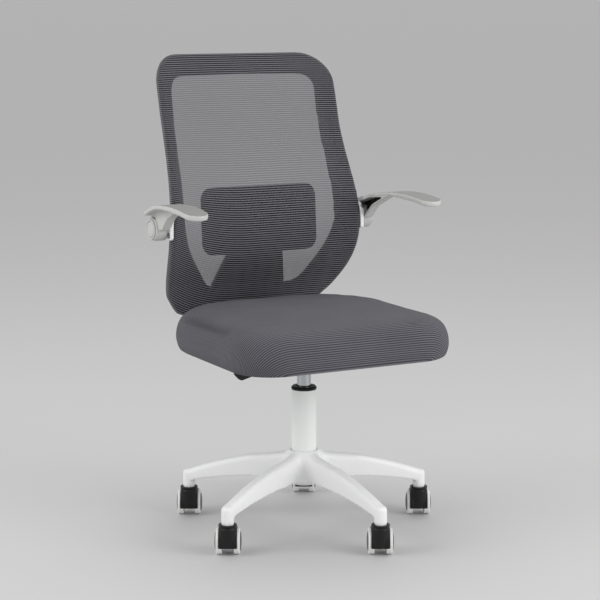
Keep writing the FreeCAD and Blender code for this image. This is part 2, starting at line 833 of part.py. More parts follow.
def seat_cushion():
    roll = size("seat_roll")
    wires = [seat_outline(size("seat_foot_inset"), size("seat_bottom"))]
    for share in ROLL_SHARES:
        wires.append(seat_outline(roll * (1 - math.sqrt(1 - share * share)),
                                  size("seat_girth") + size("seat_rise") * share))
    for inset, rise in CROWN_STEPS:
        wires.append(seat_outline(roll * inset, size("seat_shoulder") + size("seat_crown") * rise))
    return Part.makeLoft(wires, True, False)


def board_shape():
    outline = seat_outline(size("board_inset"), size("seat_bottom"))
    return Part.Face(outline).extrude(Vector(0, 0, size("board_thickness")))


def upright_bolt(x, y, seat):
    """Bolt pushed up into the board, its head under the level given."""
    head = Part.makeCylinder(size("bolt_head_diameter") / 2, size("bolt_head_height"),
                             Vector(x, y, seat - size("bolt_head_height")))
    length = size("seat_bottom + bolt_grip") - seat
    return head.fuse(Part.makeCylinder(size("bolt_diameter") / 2, length, Vector(x, y, seat)))


def spots(across, *depths):
    return [(sign * size(across), size(depth)) for sign in (1, -1) for depth in depths]


plate_bolts = [upright_bolt(x, y, size("plate_bottom"))
               for x, y in spots("seat_bolt_x", "seat_bolt_front", "seat_bolt_rear")]
bar_bolts = [upright_bolt(x, y, size("bar_floor"))
             for x, y in spots("bar_bolt_x", "bar_bolt_front", "bar_bolt_rear")]
keep("seat_board", solid("board_shape", board_shape().cut(plate_bolts + bar_bolts)))
keep("seat_cushion", solid("cushion_shape", seat_cushion().cut(board_shape())))
keep("seat_bolts", solid("seat_bolt_shapes", Part.makeCompound(plate_bolts)))

# Back frame and mesh: a dished S-curve through six levels, cut to one rounded outline
BACK_LEVELS = ("foot", "waist", "lumbar", "chest", "shoulder", "crest")


def back_section(level, front, depth, grow):
    height = size(f"back_{level}_height")
    half = size(f"back_{level}_half_width") + grow
    edge = size(f"back_{level}_edge") + front
    dish = size(f"back_{level}_dish")
    wing = size("back_wing")
    radius = (wing * wing + dish * dish) / (2 * dish)
    swing = math.atan2(dish, wing)
    flat = half - wing
    belly = edge + dish

    def chain(shift):
        bend_x = flat + radius * math.sin(swing)
        bend_y = belly - radius + radius * math.cos(swing) + shift
        points = [(-half, edge + shift), (-bend_x, bend_y), (-flat, belly + shift),
                  (flat, belly + shift), (bend_x, bend_y), (half, edge + shift)]
        return [Vector(x, y, height) for x, y in points]

    near = chain(0)
    far = chain(depth)
    edges = [Part.Arc(near[0], near[1], near[2]), Part.LineSegment(near[2], near[3]),
             Part.Arc(near[3], near[4], near[5]), Part.LineSegment(near[5], far[5]),
             Part.Arc(far[5], far[4], far[3]), Part.LineSegment(far[3], far[2]),
             Part.Arc(far[2], far[1], far[0]), Part.LineSegment(far[0], near[0])]
    return Part.Wire([edge.toShape() for edge in edges])


def back_slab(front, depth, grow=0):
    """Curved slab of the whole back, its front moved and its sides grown as asked."""
    return Part.makeLoft([back_section(level, front, depth, grow) for level in BACK_LEVELS], True, False)


def through_back(half):
    """Straight cutter from the front to behind the back, closed from its right-hand half."""
    return prism(both_sides(half), seen_from_front(0), Vector(0, 2 * size("back_crest_edge"), 0))


def back_outline():
    """Cutter that rounds the four corners of the back."""
    spare = size("back_depth")
    return through_back([
        (size("back_foot_half_width - foot_taper"), size("back_foot_height"), size("foot_corner")),
        (size("back_waist_half_width") + spare, size("back_waist_height"), 0),
        (size("back_lumbar_half_width") + spare, size("back_lumbar_height"), 0),
        (size("back_shoulder_half_width + face_gap"), size("back_shoulder_height"), 0),
        (size("back_crest_half_width"), size("back_crest_height"), size("crest_corner")),
    ])


def back_opening():
    return through_back([
        (size("back_foot_half_width - rim_foot_side"), size("back_foot_height + rim_foot"),
         size("opening_foot_corner")),
        (size("back_lumbar_half_width - rim_lumbar"), size("opening_bend_height"), size("opening_bend_radius")),
        (size("back_crest_half_width - rim_side"), size("back_crest_height - rim_crest"),
         size("opening_crest_corner")),
    ])


slab = back_slab(0, size("back_depth"))
slab_room = back_slab(-size("back_depth"), 2 * size("back_depth") + size("run_gap"), size("run_gap"))


def back_span(x, height):
    """Front and rear of the curved slab at a place seen from the front."""
    far = 2 * size("back_crest_edge")
    line = Part.makeLine(Vector(x, -far, height), Vector(x, far, height))
    inside = line.common(slab)
    return inside.BoundBox.YMin, inside.BoundBox.YMax


def back_side(height):
    """Half width of the curved slab at a height, and the front of its edge there."""
    ring = slab.slice(Vector(0, 0, 1), height)[0]
    half = ring.BoundBox.XMax
    return half, back_span(half - size("run_gap"), height)[0]


mesh = back_slab(-size("mesh_gap + mesh_thickness"), size("mesh_thickness"))
keep("back_mesh", solid("mesh_shape", mesh.common(back_outline())))

# Lumbar pad: a crowned pad that leans with the mesh in front of it.
# Each ring of it lies at a share of its thickness, drawn in by a share of its edge.
PAD_RINGS = ((1, 0.5), (0.7, 0), (0.35, 0.3), (0.1, 1.3), (0, 3))
pad_foot = Vector(0, back_span(0, size("pad_bottom"))[0] + size("pad_setback"), size("pad_bottom"))
pad_head = Vector(0, back_span(0, size("pad_top"))[0] + size("pad_setback"), size("pad_top"))
pad_up = (pad_head - pad_foot).normalize()
pad_inward = Vector(0, pad_up.z, -pad_up.y)


def pad_plane(depth):
    """Places across and up the pad, at a depth behind its front."""
    return lambda across, rise: pad_foot + Vector(across, 0, 0) + pad_up * rise + pad_inward * depth


def lumbar_pad():
    half = size("pad_half_width")
    height = size("pad_height")
    wires = []
    for depth, inset in PAD_RINGS:
        margin = inset * size("pad_edge")
        corner = size("pad_corner") - margin / 2
        corners = both_sides([(half - margin, margin, corner), (half - margin, height - margin, corner)])
        wires.append(rounded_wire(corners, pad_plane(depth * size("pad_thickness"))))
    return Part.makeLoft(wires, True, False)


keep("lumbar_pad", solid("pad_shape", lumbar_pad()))

# Back bar: a foot under the seat, a leaning upright behind the frame and a head behind the pad
bar_knee = pad_plane(size("pad_thickness"))(0, 0)
bar_top = pad_plane(size("pad_thickness"))(0, size("pad_height - bar_head_margin"))
bar_contact = Vector(0, back_span(0, size("bar_contact_height"))[1] - size("bar_bite"),
                     size("bar_contact_height"))
bar_slope = (bar_contact.y - bar_knee.y) / (bar_knee.z - bar_contact.z)


def bar_front_at(height):
    return bar_knee.y + bar_slope * (bar_knee.z - height)


def beside(points, distance):
    """Corners of the line that runs beside a chain of points, on its right-hand side."""
    runs = []
    for start, end in zip(points, points[1:]):
        along = (end - start).normalize()
        aside = Vector(0, along.z, -along.y) * distance
        runs.append((start + aside, along))
    corners = [runs[0][0]]
    for (start, along), (other, following) in zip(runs, runs[1:]):
        step = other - start
        reach = (step.y * following.z - step.z * following.y) / (along.y * following.z - along.z * following.y)
        corners.append(start + along * reach)
    corners.append(runs[-1][0] + points[-1] - points[-2])
    return corners


def back_bar():
    level = size("seat_bottom")
    thick = size("bar_thickness")
    heel = size("bar_heel_radius")
    knee = size("bar_knee_radius")
    front = [Vector(0, size("bar_front"), level), Vector(0, bar_front_at(level), level), bar_knee, bar_top]
    rear = beside(front, thick)
    profile = [(point.y, point.z, radius) for point, radius in zip(front, (0, heel, knee + thick, 0))]
    profile += [(point.y, point.z, radius)
                for point, radius in zip(reversed(rear), (0, knee, heel + thick, size("bar_toe_radius")))]
    wide = 2 * size("bar_head_half_width")
    plate = prism(profile, seen_from_side(-wide / 2), Vector(wide, 0, 0))
    corner = size("bar_corner")
    front_view = through_back([
        (size("bar_foot_half_width"), size("bar_floor - bar_thickness"), 0),
        (size("bar_foot_half_width"), size("back_foot_height"), corner),
        (size("bar_flare_half_width"), size("bar_flare_height"), corner),
        (size("bar_knee_half_width"), size("pad_bottom"), corner),
        (size("bar_knee_half_width"), size("bar_head_bottom"), 0),
        (size("bar_head_half_width"), size("bar_head_bottom"), corner),
        (size("bar_head_half_width"), size("pad_top"), corner),
    ])
    return plate.common(front_view)


def frame_bolts():
    """Bolts square to the bar's upright, through it and into the foot of the frame."""
    outward = Vector(0, 1, bar_slope).normalize()
    height = size("frame_bolt_height")
    bolts = []
    for sign in (1, -1):
        start = Vector(sign * size("frame_bolt_x"), bar_front_at(height), height)
        seat = start + outward * size("bar_thickness")
        head = Part.makeCylinder(size("bolt_head_diameter") / 2, size("bolt_head_height"), seat, outward)
        length = size("bar_thickness + bolt_grip")
        bolts.append(head.fuse(Part.makeCylinder(size("bolt_diameter") / 2, length, seat, outward * -1)))
    return bolts


frame_bolt_shapes = frame_bolts()
keep("back_bar", solid("bar_shape", back_bar().cut([slab_room] + bar_bolts + frame_bolt_shapes)))
keep("back_bolts", solid("back_bolt_shapes", Part.makeCompound(bar_bolts + frame_bolt_shapes)))

# Arm brackets: a hooked plate on each side of the frame, with the arm's pivot pin in it
side_half, side_front = back_side(size("arm_height"))
arm_axis = side_front + size("back_depth + arm_setback")
bracket_face = side_half + size("bracket_thickness")
hub_inner = bracket_face + size("hub_gap")
hub_outer = hub_inner + size("hub_width")


def axis_rod(diameter, start, end):
    """Round bar on the arm's pivot axis."""
    return Part.makeCylinder(diameter / 2, end - start, Vector(start, arm_axis, size("arm_height")),
                             Vector(1, 0, 0))


def pivot_pin():
    head_foot = hub_outer - size("hub_cup_depth")
    head_top = head_foot + size("pivot_head_thickness")
    shank = axis_rod(size("pivot_diameter"), side_half + size("run_gap"), head_top)
    return shank.fuse(axis_rod(size("pivot_head_diameter"), head_foot + size("run_gap"), head_top))


def bracket_bolts():
    """Sunk bolts from the bracket's face into the edge of the frame."""
    inward = Vector(-1, 0, 0)
    bolts = []
    for height in (size("bracket_bolt_low"), size("bracket_bolt_high")):
        half, front = back_side(height)
        spot = Vector(bracket_face, front + size("back_depth") / 2, height)
        head = Part.makeCylinder(size("bolt_head_diameter") / 2, size("bolt_head_height"), spot, inward)
        length = bracket_face - half + size("bracket_bolt_depth")
        bolts.append(head.fuse(Part.makeCylinder(size("bolt_diameter") / 2, length, spot, inward)))
    return bolts


def arm_bracket():
    front = side_front + size("bracket_front_inset")
    rear = arm_axis + size("bracket_reach")
    low = size("arm_height - bracket_fall")
    high = size("arm_height + bracket_rise")
    toe = size("bracket_toe_radius")
    heel = size("bracket_heel_radius")
    corners = [
        (front, low, toe),
        (rear, low, heel),
        (rear, high, heel),
        (front, high, heel),
    ]
    start = side_half - size("bracket_hook")
    return prism(corners, seen_from_side(start), Vector(bracket_face - start, 0, 0))


# Armrest: an arched pad on a hollow web that turns on the pivot pin
def arm_arc(*points):
    """Arc along the arm through places given behind the pivot and above it."""
    return Part.Arc(*[Vector(0, arm_axis + behind, size("arm_height") + rise) for behind, rise in points])


def arm_pad():
    tip = -size("arm_reach")
    tail = size("arm_overhang")
    middle = (tip + tail) / 2
    inner = hub_inner
    outer = inner + size("arm_pad_width")
    spare = size("arm_end_spare")
    top = arm_arc((tip - spare, size("arm_tip_rise")), (middle, size("arm_crest_rise")),
                  (tail + spare, size("arm_tail_rise")))
    under = arm_arc((tip - spare, size("arm_tip_rise - arm_tip_thickness")),
                    (middle, size("arm_crest_rise - arm_pad_thickness")),
                    (tail + spare, size("arm_tail_rise - arm_pad_thickness")))
    ends = [Part.LineSegment(under.StartPoint, top.StartPoint), Part.LineSegment(top.EndPoint, under.EndPoint)]
    side = Part.Face(Part.Wire([edge.toShape() for edge in (ends[0], top, ends[1], under)]))
    plan = [
        (inner + size("arm_tip_inset"), arm_axis + tip, size("arm_tip_corner")),
        (outer, arm_axis + tip, size("arm_tip_corner")),
        (outer, arm_axis + middle, size("arm_side_radius")),
        (outer - size("arm_pad_taper"), arm_axis + tail, size("arm_tail_corner")),
        (inner, arm_axis + tail, size("arm_tail_corner")),
    ]
    seen_from_top = prism(plan, seen_from_above(size("arm_height")), Vector(0, 0, 2 * size("arm_crest_rise")))
    return side.extrude(Vector(2 * outer, 0, 0)).common(seen_from_top)


def arm_web(rim, width):
    """Triangle from the hub to the pad, drawn in by a rim."""
    height = size("arm_height")
    outline = rounded_wire([
        (arm_axis + size("arm_web_rear"), height, 0),
        (arm_axis + size("arm_web_tail"), size("arm_height + arm_tail_rise - arm_pad_thickness / 4"), 0),
        (arm_axis - size("arm_web_shoulder"), size("arm_height + arm_shoulder_rise"), 0),
        (arm_axis - size("arm_web_reach"), size("arm_height + arm_web_crest"), 0),
        (arm_axis - size("arm_web_waist"), size("arm_height + arm_waist_rise"), size("arm_waist_radius")),
        (arm_axis - size("arm_web_front"), height, 0),
    ], seen_from_side(hub_inner))
    face = Part.Face(outline)
    if rim > 0:
        face = face.makeOffset2D(-rim)
    return face.extrude(Vector(width, 0, 0))


def armrest():
    hollow = arm_web(size("arm_recess_rim"), size("arm_recess_depth"))
    web = arm_web(0, size("arm_web_width")).cut(hollow)
    hub = axis_rod(size("hub_diameter"), hub_inner, hub_outer)
    bore = axis_rod(size("pivot_diameter + 2 * run_gap"), hub_inner, hub_outer)
    cup = axis_rod(size("hub_cup_diameter"), hub_outer - size("hub_cup_depth"), hub_outer)
    return web.fuse([hub, arm_pad()]).cut([bore, cup]).removeSplitter()


def arm_cap():
    """Round cover over the pivot, with a turned-down edge."""
    disc = axis_rod(size("cap_diameter"), hub_outer, hub_outer + size("cap_thickness"))
    rim = [edge for edge in disc.Edges if edge.BoundBox.XMin > hub_outer + size("cap_thickness") / 2]
    return disc.makeFillet(size("cap_edge"), rim)


def mirrored(name, source):
    part = doc.addObject("Part::Mirroring", name)
    part.Source = source
    part.Normal = Vector(1, 0, 0)
    return part


side_bolts = bracket_bolts()
left_pieces = {
    "arm_bracket": arm_bracket().cut([slab_room, pivot_pin()] + side_bolts),
    "arm_pivot": pivot_pin(),
    "armrest": armrest(),
    "arm_cap": arm_cap(),
}
for label, shape in left_pieces.items():
    left = keep(f"{label}_left", solid(f"{label}_shape", shape))
    keep(f"{label}_right", mirrored(f"{label}_mirrored", left))

other_bolts = [bolt.mirror(Vector(), Vector(1, 0, 0)) for bolt in side_bolts]
keep("bracket_bolts", solid("bracket_bolt_shapes", Part.makeCompound(side_bolts + other_bolts)))

frame_holes = frame_bolt_shapes + side_bolts + other_bolts
keep("back_frame", solid("frame_shape", slab.common(back_outline()).cut([back_opening()] + frame_holes)))

# Check every object, then write one file per piece
doc.recompute()
for item in doc.Objects:
    if "Invalid" in item.State or "Error" in item.State:
        raise RuntimeError(f"{item.Label} failed: {item.State}")
for label, part in nodes.items():
    if part.Shape.isNull() or not part.Shape.isValid() or not part.Shape.Solids:
        raise RuntimeError(f"{label} has no valid solid")

os.makedirs("parts", exist_ok=True)
for label, part in nodes.items():
    part.Shape.exportStep(f"parts/{label}.step")
print(len(nodes), "pieces")
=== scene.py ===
import math

import bmesh
import bpy
import numpy as np
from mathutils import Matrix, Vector
from mathutils.bvhtree import BVHTree


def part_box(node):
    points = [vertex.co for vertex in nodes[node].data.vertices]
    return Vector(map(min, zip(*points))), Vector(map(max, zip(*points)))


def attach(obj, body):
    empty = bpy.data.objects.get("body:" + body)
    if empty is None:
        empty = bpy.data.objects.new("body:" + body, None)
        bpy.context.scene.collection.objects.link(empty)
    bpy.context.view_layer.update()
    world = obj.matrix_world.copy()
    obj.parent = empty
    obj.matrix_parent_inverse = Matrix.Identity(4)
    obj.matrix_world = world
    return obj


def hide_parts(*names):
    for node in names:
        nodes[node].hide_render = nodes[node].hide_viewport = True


# Office chair with a mesh back on a white star base.
# Metres, +Z up, the sitter faces -Y, and the origin is on the floor under the column.

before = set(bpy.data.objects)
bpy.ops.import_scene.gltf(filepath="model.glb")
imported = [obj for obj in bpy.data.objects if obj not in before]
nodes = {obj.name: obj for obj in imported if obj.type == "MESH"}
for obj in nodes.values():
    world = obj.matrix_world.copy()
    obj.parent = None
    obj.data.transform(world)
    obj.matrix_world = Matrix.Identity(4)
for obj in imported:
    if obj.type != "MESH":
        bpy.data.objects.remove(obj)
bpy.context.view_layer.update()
MM = 0.001

# Casters
# Each caster is a black nylon hood on a steel stem, with two wheels on one steel axle.
# The wheels are hard grey discs moulded into white polyurethane treads, and run free.
CASTER_NUMBERS = range(1, 6)
HOOD_VOXEL = 0.7 * MM
HOOD_PASSES = 6
COLLAR_HEIGHT = 5.2 * MM
GROOVE_HALF = 1.1 * MM
GROOVE_DEPTH = 2.4 * MM
HOOD_CORNER = 3 * MM
HOOD_CORNER_PASSES = 40
EASE_STEP = 0.5
FLOW_LENGTH = 60 * MM
GLOSS_RISE = 0.06
GLOSS_FALL = 0.08
DRAW_LINE = 0.8 * MM
DRAW_STRETCH = (1, 1, 0.05)
DRAW_RELIEF = 0.01 * MM


def linear(hex_colour):
    """sRGB hex value as a linear colour with full alpha."""
    channels = [int(hex_colour[place:place + 2], 16) / 255 for place in (1, 3, 5)]
    return [c / 12.92 if c <= 0.04045 else ((c + 0.055) / 1.055) ** 2.4 for c in channels] + [1]


def add_node(tree, kind, settings=None, inputs=None):
    """One shader node, with its settings, and its inputs as values or as sockets to link."""
    made = tree.nodes.new(kind)
    for name, value in (settings or {}).items():
        setattr(made, name, value)
    for name, value in (inputs or {}).items():
        if isinstance(value, bpy.types.NodeSocket):
            tree.links.new(value, made.inputs[name])
        else:
            made.inputs[name].default_value = value
    return made


def empty_finish(name):
    """New material with only its output and a Principled shader."""
    material = bpy.data.materials.new(name)
    material.use_nodes = True
    tree = material.node_tree
    return material, tree, tree.nodes["Principled BSDF"]


def moulded_plastic(name, colour, tint, roughness, grain, relief, ior=1.5):
    """Injection-moulded plastic: a fine spark-eroded grain that breaks up its gloss,
    and a slow drift of shade from how the melt flowed. Grain and relief in millimetres."""
    material, tree, shader = empty_finish(name)
    place = add_node(tree, "ShaderNodeTexCoord").outputs["Object"]
    flow = add_node(tree, "ShaderNodeTexNoise",
                    inputs={"Vector": place, "Scale": 1 / FLOW_LENGTH, "Detail": 3})
    shade = add_node(tree, "ShaderNodeMix", {"data_type": "RGBA"},
                     {"Factor": flow.outputs["Fac"], "A": linear(colour), "B": linear(tint)})
    skin = add_node(tree, "ShaderNodeTexNoise",
                    inputs={"Vector": place, "Scale": 1 / (grain * MM), "Detail": 4})
    gloss = add_node(tree, "ShaderNodeMapRange",
                     inputs={"Value": skin.outputs["Fac"], "From Min": 0.3, "From Max": 0.7,
                             "To Min": roughness - GLOSS_RISE, "To Max": roughness + GLOSS_FALL})
    bump = add_node(tree, "ShaderNodeBump",
                    inputs={"Height": skin.outputs["Fac"], "Distance": relief * MM, "Strength": 0.6})
    tree.links.new(shade.outputs["Result"], shader.inputs["Base Color"])
    tree.links.new(gloss.outputs["Result"], shader.inputs["Roughness"])
    tree.links.new(bump.outputs["Normal"], shader.inputs["Normal"])
    shader.inputs["IOR"].default_value = ior
    return material


def dress(material, *names):
    """Give CAD nodes their finish."""
    for name in names:
        nodes[name].data.materials.clear()
        nodes[name].data.materials.append(material)


def points_of(mesh):
    """Places of a mesh's points, one row each."""
    flat = np.zeros(len(mesh.vertices) * 3)
    mesh.vertices.foreach_get("co", flat)
    return flat.reshape(-1, 3)


def normals_of(mesh):
    """Directions that a mesh's points face, one row each."""
    flat = np.zeros(len(mesh.vertices) * 3)
    mesh.vertices.foreach_get("normal", flat)
    return flat.reshape(-1, 3)


def set_points(mesh, points):
    """Move a mesh's points."""
    mesh.vertices.foreach_set("co", points.ravel())
    mesh.update()


def shade_round(mesh):
    """Shade the faces as one curved skin."""
    mesh.polygons.foreach_set("use_smooth", [True] * len(mesh.polygons))


def new_piece(name, mesh):
    """Object for a mesh, in the scene."""
    made = bpy.data.objects.new(name, mesh)
    bpy.context.scene.collection.objects.link(made)
    return made


def copy_of(node, name):
    """Loose copy of a CAD node's mesh, to be shaped into what is seen of it."""
    made = new_piece(name, nodes[node].data.copy())
    made.data.materials.clear()
    return made


def settle(made):
    """Work the modifiers into the mesh."""
    settled = bpy.data.meshes.new_from_object(made.evaluated_get(bpy.context.evaluated_depsgraph_get()))
    made.modifiers.clear()
    made.data = settled


def even_skin(made, voxel):
    """Replace the mesh by one with even faces, so that it eases and stretches alike all over."""
    remesh = made.modifiers.new("even_skin", "REMESH")
    remesh.mode = "VOXEL"
    remesh.voxel_size = voxel
    settle(made)


def ease(made, passes, weights=1):
    """Draw each point towards its neighbours, as far as its weight lets it."""
    mesh = made.data
    ends = np.zeros(len(mesh.edges) * 2, dtype=np.int64)
    mesh.edges.foreach_get("vertices", ends)
    one, other = ends[0::2], ends[1::2]
    start, stop = np.concatenate([one, other]), np.concatenate([other, one])
    count = np.maximum(np.bincount(start, minlength=len(mesh.vertices)), 1)
    pull = EASE_STEP * np.reshape(weights, (-1, 1))
    points = points_of(mesh)
    for _ in range(passes):
        mean = np.stack([np.bincount(start, points[stop, axis], len(points)) / count for axis in range(3)], 1)
        points += pull * (mean - points)
    set_points(mesh, points)
    shade_round(mesh)


# Black nylon: near black with a low sheen, so that rounded edges show as soft grey lines.
black_nylon = moulded_plastic("black_nylon_moulded", "#151615", "#1b1c1b",
                              roughness=0.42, grain=1.6, relief=0.03, ior=1.32)
# White polyurethane: bright and even, with hardly a highlight.
polyurethane = moulded_plastic("white_polyurethane_tread", "#eeeeec", "#e9e9e6",
                               roughness=0.5, grain=1.2, relief=0.02)
# Grey polypropylene: a mid grey with a waxy shine.
disc_plastic = moulded_plastic("grey_polypropylene_disc", "#5b5c5f", "#535457",
                               roughness=0.42, grain=1.2, relief=0.02)
# Cold-drawn steel: bright, with fine lines along the draw that spread its glints.
bright_steel, steel_tree, steel_shader = empty_finish("bright_drawn_steel")
steel_place = add_node(steel_tree, "ShaderNodeTexCoord").outputs["Object"]
steel_draw = add_node(steel_tree, "ShaderNodeMapping", inputs={"Vector": steel_place, "Scale": DRAW_STRETCH})
steel_lines = add_node(steel_tree, "ShaderNodeTexNoise",
                       inputs={"Vector": steel_draw.outputs["Vector"], "Scale": 1 / DRAW_LINE, "Detail": 2})
steel_gloss = add_node(steel_tree, "ShaderNodeMapRange",
                       inputs={"Value": steel_lines.outputs["Fac"], "To Min": 0.18, "To Max": 0.42})
steel_bump = add_node(steel_tree, "ShaderNodeBump",
                      inputs={"Height": steel_lines.outputs["Fac"], "Distance": DRAW_RELIEF, "Strength": 0.4})
steel_tree.links.new(steel_gloss.outputs["Result"], steel_shader.inputs["Roughness"])
steel_tree.links.new(steel_bump.outputs["Normal"], steel_shader.inputs["Normal"])
steel_shader.inputs["Base Color"].default_value = linear("#b9babd")
steel_shader.inputs["Metallic"].default_value = 1

# The hood as it is seen: a groove sets off its collar, and its lower edge is rounded.
for number in CASTER_NUMBERS:
    hood_skin = copy_of(f"caster_hood_{number}", f"hood_skin_{number}")
    even_skin(hood_skin, HOOD_VOXEL)
    hood_points, hood_normals = points_of(hood_skin.data), normals_of(hood_skin.data)
    hood_top, hood_foot = hood_points[:, 2].max(), hood_points[:, 2].min()
    collar_axis = hood_points[hood_points[:, 2] > hood_top - HOOD_VOXEL].mean(axis=0)
    outside = ((hood_points - collar_axis)[:, :2] * hood_normals[:, :2]).sum(axis=1) > 0
    groove = outside * np.exp(-((hood_points[:, 2] - hood_top + COLLAR_HEIGHT) / GROOVE_HALF) ** 2)
    hood_points -= GROOVE_DEPTH * groove[:, None] * hood_normals
    set_points(hood_skin.data, hood_points)
    ease(hood_skin, HOOD_PASSES)
    at_foot = np.interp(hood_points[:, 2], (hood_foot, hood_foot + HOOD_CORNER), (1, 0))
    ease(hood_skin, HOOD_CORNER_PASSES, at_foot)
    hood_skin.data.materials.append(black_nylon)
    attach(hood_skin, f"caster_{number}")
    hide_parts(f"caster_hood_{number}")
    dress(bright_steel, f"caster_pins_{number}")
    for side in ("left", "right"):
        dress(polyurethane, f"wheel_tyre_{number}_{side}")
        dress(disc_plastic, f"wheel_disc_{number}_{side}")

# Star base
# One white glass-filled nylon moulding: a coned hub and five tall hollow legs.
# Its edges and the valleys between the legs are rounded, as the mould leaves them.
BASE_VOXEL = 2 * MM
BASE_PASSES = 8
HUB_RIM = 33 * MM
VALLEY_START = 44 * MM
VALLEY_END = 78 * MM
VALLEY_FADE = 112 * MM
VALLEY_PASSES = 120
UNDERSIDE = -0.2
# White nylon: clean and even, with a broad soft highlight along each leg.
white_nylon = moulded_plastic("white_nylon_moulded", "#eaebea", "#e5e6e5",
                              roughness=0.42, grain=1.8, relief=0.02)
base_skin = copy_of("star_base", "base_skin")
even_skin(base_skin, BASE_VOXEL)
ease(base_skin, BASE_PASSES)
base_points = points_of(base_skin.data)
from_axis = np.hypot(base_points[:, 0], base_points[:, 1])
valley = np.interp(from_axis, (HUB_RIM, VALLEY_START, VALLEY_END, VALLEY_FADE), (0, 1, 1, 0))
valley[normals_of(base_skin.data)[:, 2] < UNDERSIDE] = 0
ease(base_skin, VALLEY_PASSES, valley)
base_skin.data.materials.append(white_nylon)
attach(base_skin, "base")
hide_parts("star_base")

# Gas lift
# A white powder-coated steel tube with a black guide bush pressed in its top.
# A chromed cylinder slides and turns in the bush, on a steel rod out of sight.
CHROME_HAZE = 6 * MM
# Powder coat: white, with a faint orange peel that blurs its highlight.
powder_coat = moulded_plastic("white_powder_coat", "#eaecea", "#e6e8e6",
                              roughness=0.4, grain=2.2, relief=0.03)
dress(powder_coat, "column_tube")
dress(black_nylon, "column_bush")
dress(bright_steel, "thrust_bearing", "piston_rod", "rod_clip", "release_button")

# Chrome plate: a mirror with a breath of haze, which shows the studio as light and dark bands.
chrome, chrome_tree, chrome_shader = empty_finish("bright_chrome_plate")
chrome_place = add_node(chrome_tree, "ShaderNodeTexCoord").outputs["Object"]
chrome_haze = add_node(chrome_tree, "ShaderNodeTexNoise",
                       inputs={"Vector": chrome_place, "Scale": 1 / CHROME_HAZE, "Detail": 5})
chrome_gloss = add_node(chrome_tree, "ShaderNodeMapRange",
                        inputs={"Value": chrome_haze.outputs["Fac"], "To Min": 0.08, "To Max": 0.2})
chrome_tree.links.new(chrome_gloss.outputs["Result"], chrome_shader.inputs["Roughness"])
chrome_shader.inputs["Base Color"].default_value = linear("#b4b7b9")
chrome_shader.inputs["Metallic"].default_value = 1
dress(chrome, "lift_cylinder")

# Mechanism and height lever
# A black painted pressing bolted under the seat board, with the lever pinned in it.
# The lever is a bent steel wire with a black nylon paddle pushed on its end.
PADDLE_VOXEL = 0.7 * MM
SOFTEN_PASSES = 4


def soften(name, voxel):
    """Round a moulding's sharp CAD edges, as a mould's do."""
    remesh = nodes[name].modifiers.new("even_skin", "REMESH")
    remesh.mode = "VOXEL"
    remesh.voxel_size = voxel
    remesh.use_smooth_shade = True
    smooth = nodes[name].modifiers.new("rounded_edges", "SMOOTH")
    smooth.factor = EASE_STEP
    smooth.iterations = SOFTEN_PASSES


# Stoved paint: black and satin, a little bluer and duller than the nylon.
black_paint = moulded_plastic("black_stoved_paint", "#141516", "#1a1b1c",
                              roughness=0.5, grain=2.5, relief=0.04, ior=1.35)
dress(black_paint, "mechanism_plate", "height_lever")
dress(bright_steel, "lever_pin")
soften("lever_paddle", PADDLE_VOXEL)
dress(black_nylon, "lever_paddle")

# Seat
# A block of cold-cure foam on a plywood board, in one tight cover of ribbed knit.
# The cover is drawn over the edges and stapled underneath, so that it has no piping.
SEAT_HALF_WIDTH = 238 * MM
SEAT_FRONT = -233 * MM
SEAT_REAR = 224.7 * MM
SEAT_FRONT_CORNER = 87 * MM
SEAT_REAR_CORNER = 155 * MM
SEAT_LEAST_CORNER = 8 * MM
SEAT_LEAST_ROOM = 1 * MM
SEAT_CORNER_STEPS = 14
SEAT_ROLL = 49 * MM
SEAT_ROLL_FULLNESS = 2.6
SEAT_ROLL_END = 0.97
SEAT_ROLL_STEPS = 12
SEAT_FOOT_INSET = 9 * MM
SEAT_HEM_INSET = SEAT_FOOT_INSET + 8 * MM
SEAT_FLAT_INSET = SEAT_FOOT_INSET + 30 * MM
SEAT_UNDER_INSET = SEAT_HALF_WIDTH * 0.7
SEAT_HEM_RISE = 3 * MM
SEAT_SAG = 4 * MM
SEAT_SAG_END = 170 * MM
SEAT_SAG_FADE = 60 * MM
SEAT_FOOT_HEIGHT = 17.7 * MM
SEAT_RISE = 62.3 * MM
SEAT_CROWN = 6 * MM
SEAT_CROWN_DIP = 0.6 * MM
SEAT_CROWN_START = 0.15
SEAT_CROWN_STEPS = 8
SEAT_CROWN_INSET = 0.95
SEAT_CROWN_REACH = 3.2
SEAT_SHRINK = 2 * MM
SEAT_SWELL_CAP = 1.8 * MM
SEAT_STAPLED = 6 * MM
SEAT_VOXEL = 5 * MM
SEAT_PASSES = 6
SEAT_RIB_PITCH = 4.5 * MM
# Creases that the cover's pull leaves, each from a start to an end with its depth and width, in mm:
# one along the sitter's right shoulder, and a short fold at the left front corner.
SEAT_CREASES = (((-221, 130, 433), (-220, -115, 434), 6, 10), ((120, -205, 434), (188, -176, 430), 1.6, 7))
CLOTH_FRAMES = 20
CLOTH_QUALITY = 4
CLOTH_MASS = 0.3
CLOTH_STIFFNESS = 20
CLOTH_BENDING = 2
CLOTH_PRESSURE = 4
TINY = 1e-6
KNIT_FUZZ = 1.5 * MM
KNIT_WEAR = 90 * MM
KNIT_RELIEF = 1.2 * MM
PLYWOOD_GRAIN = 5 * MM
PLYWOOD_STRETCH = (1, 0.08, 1)

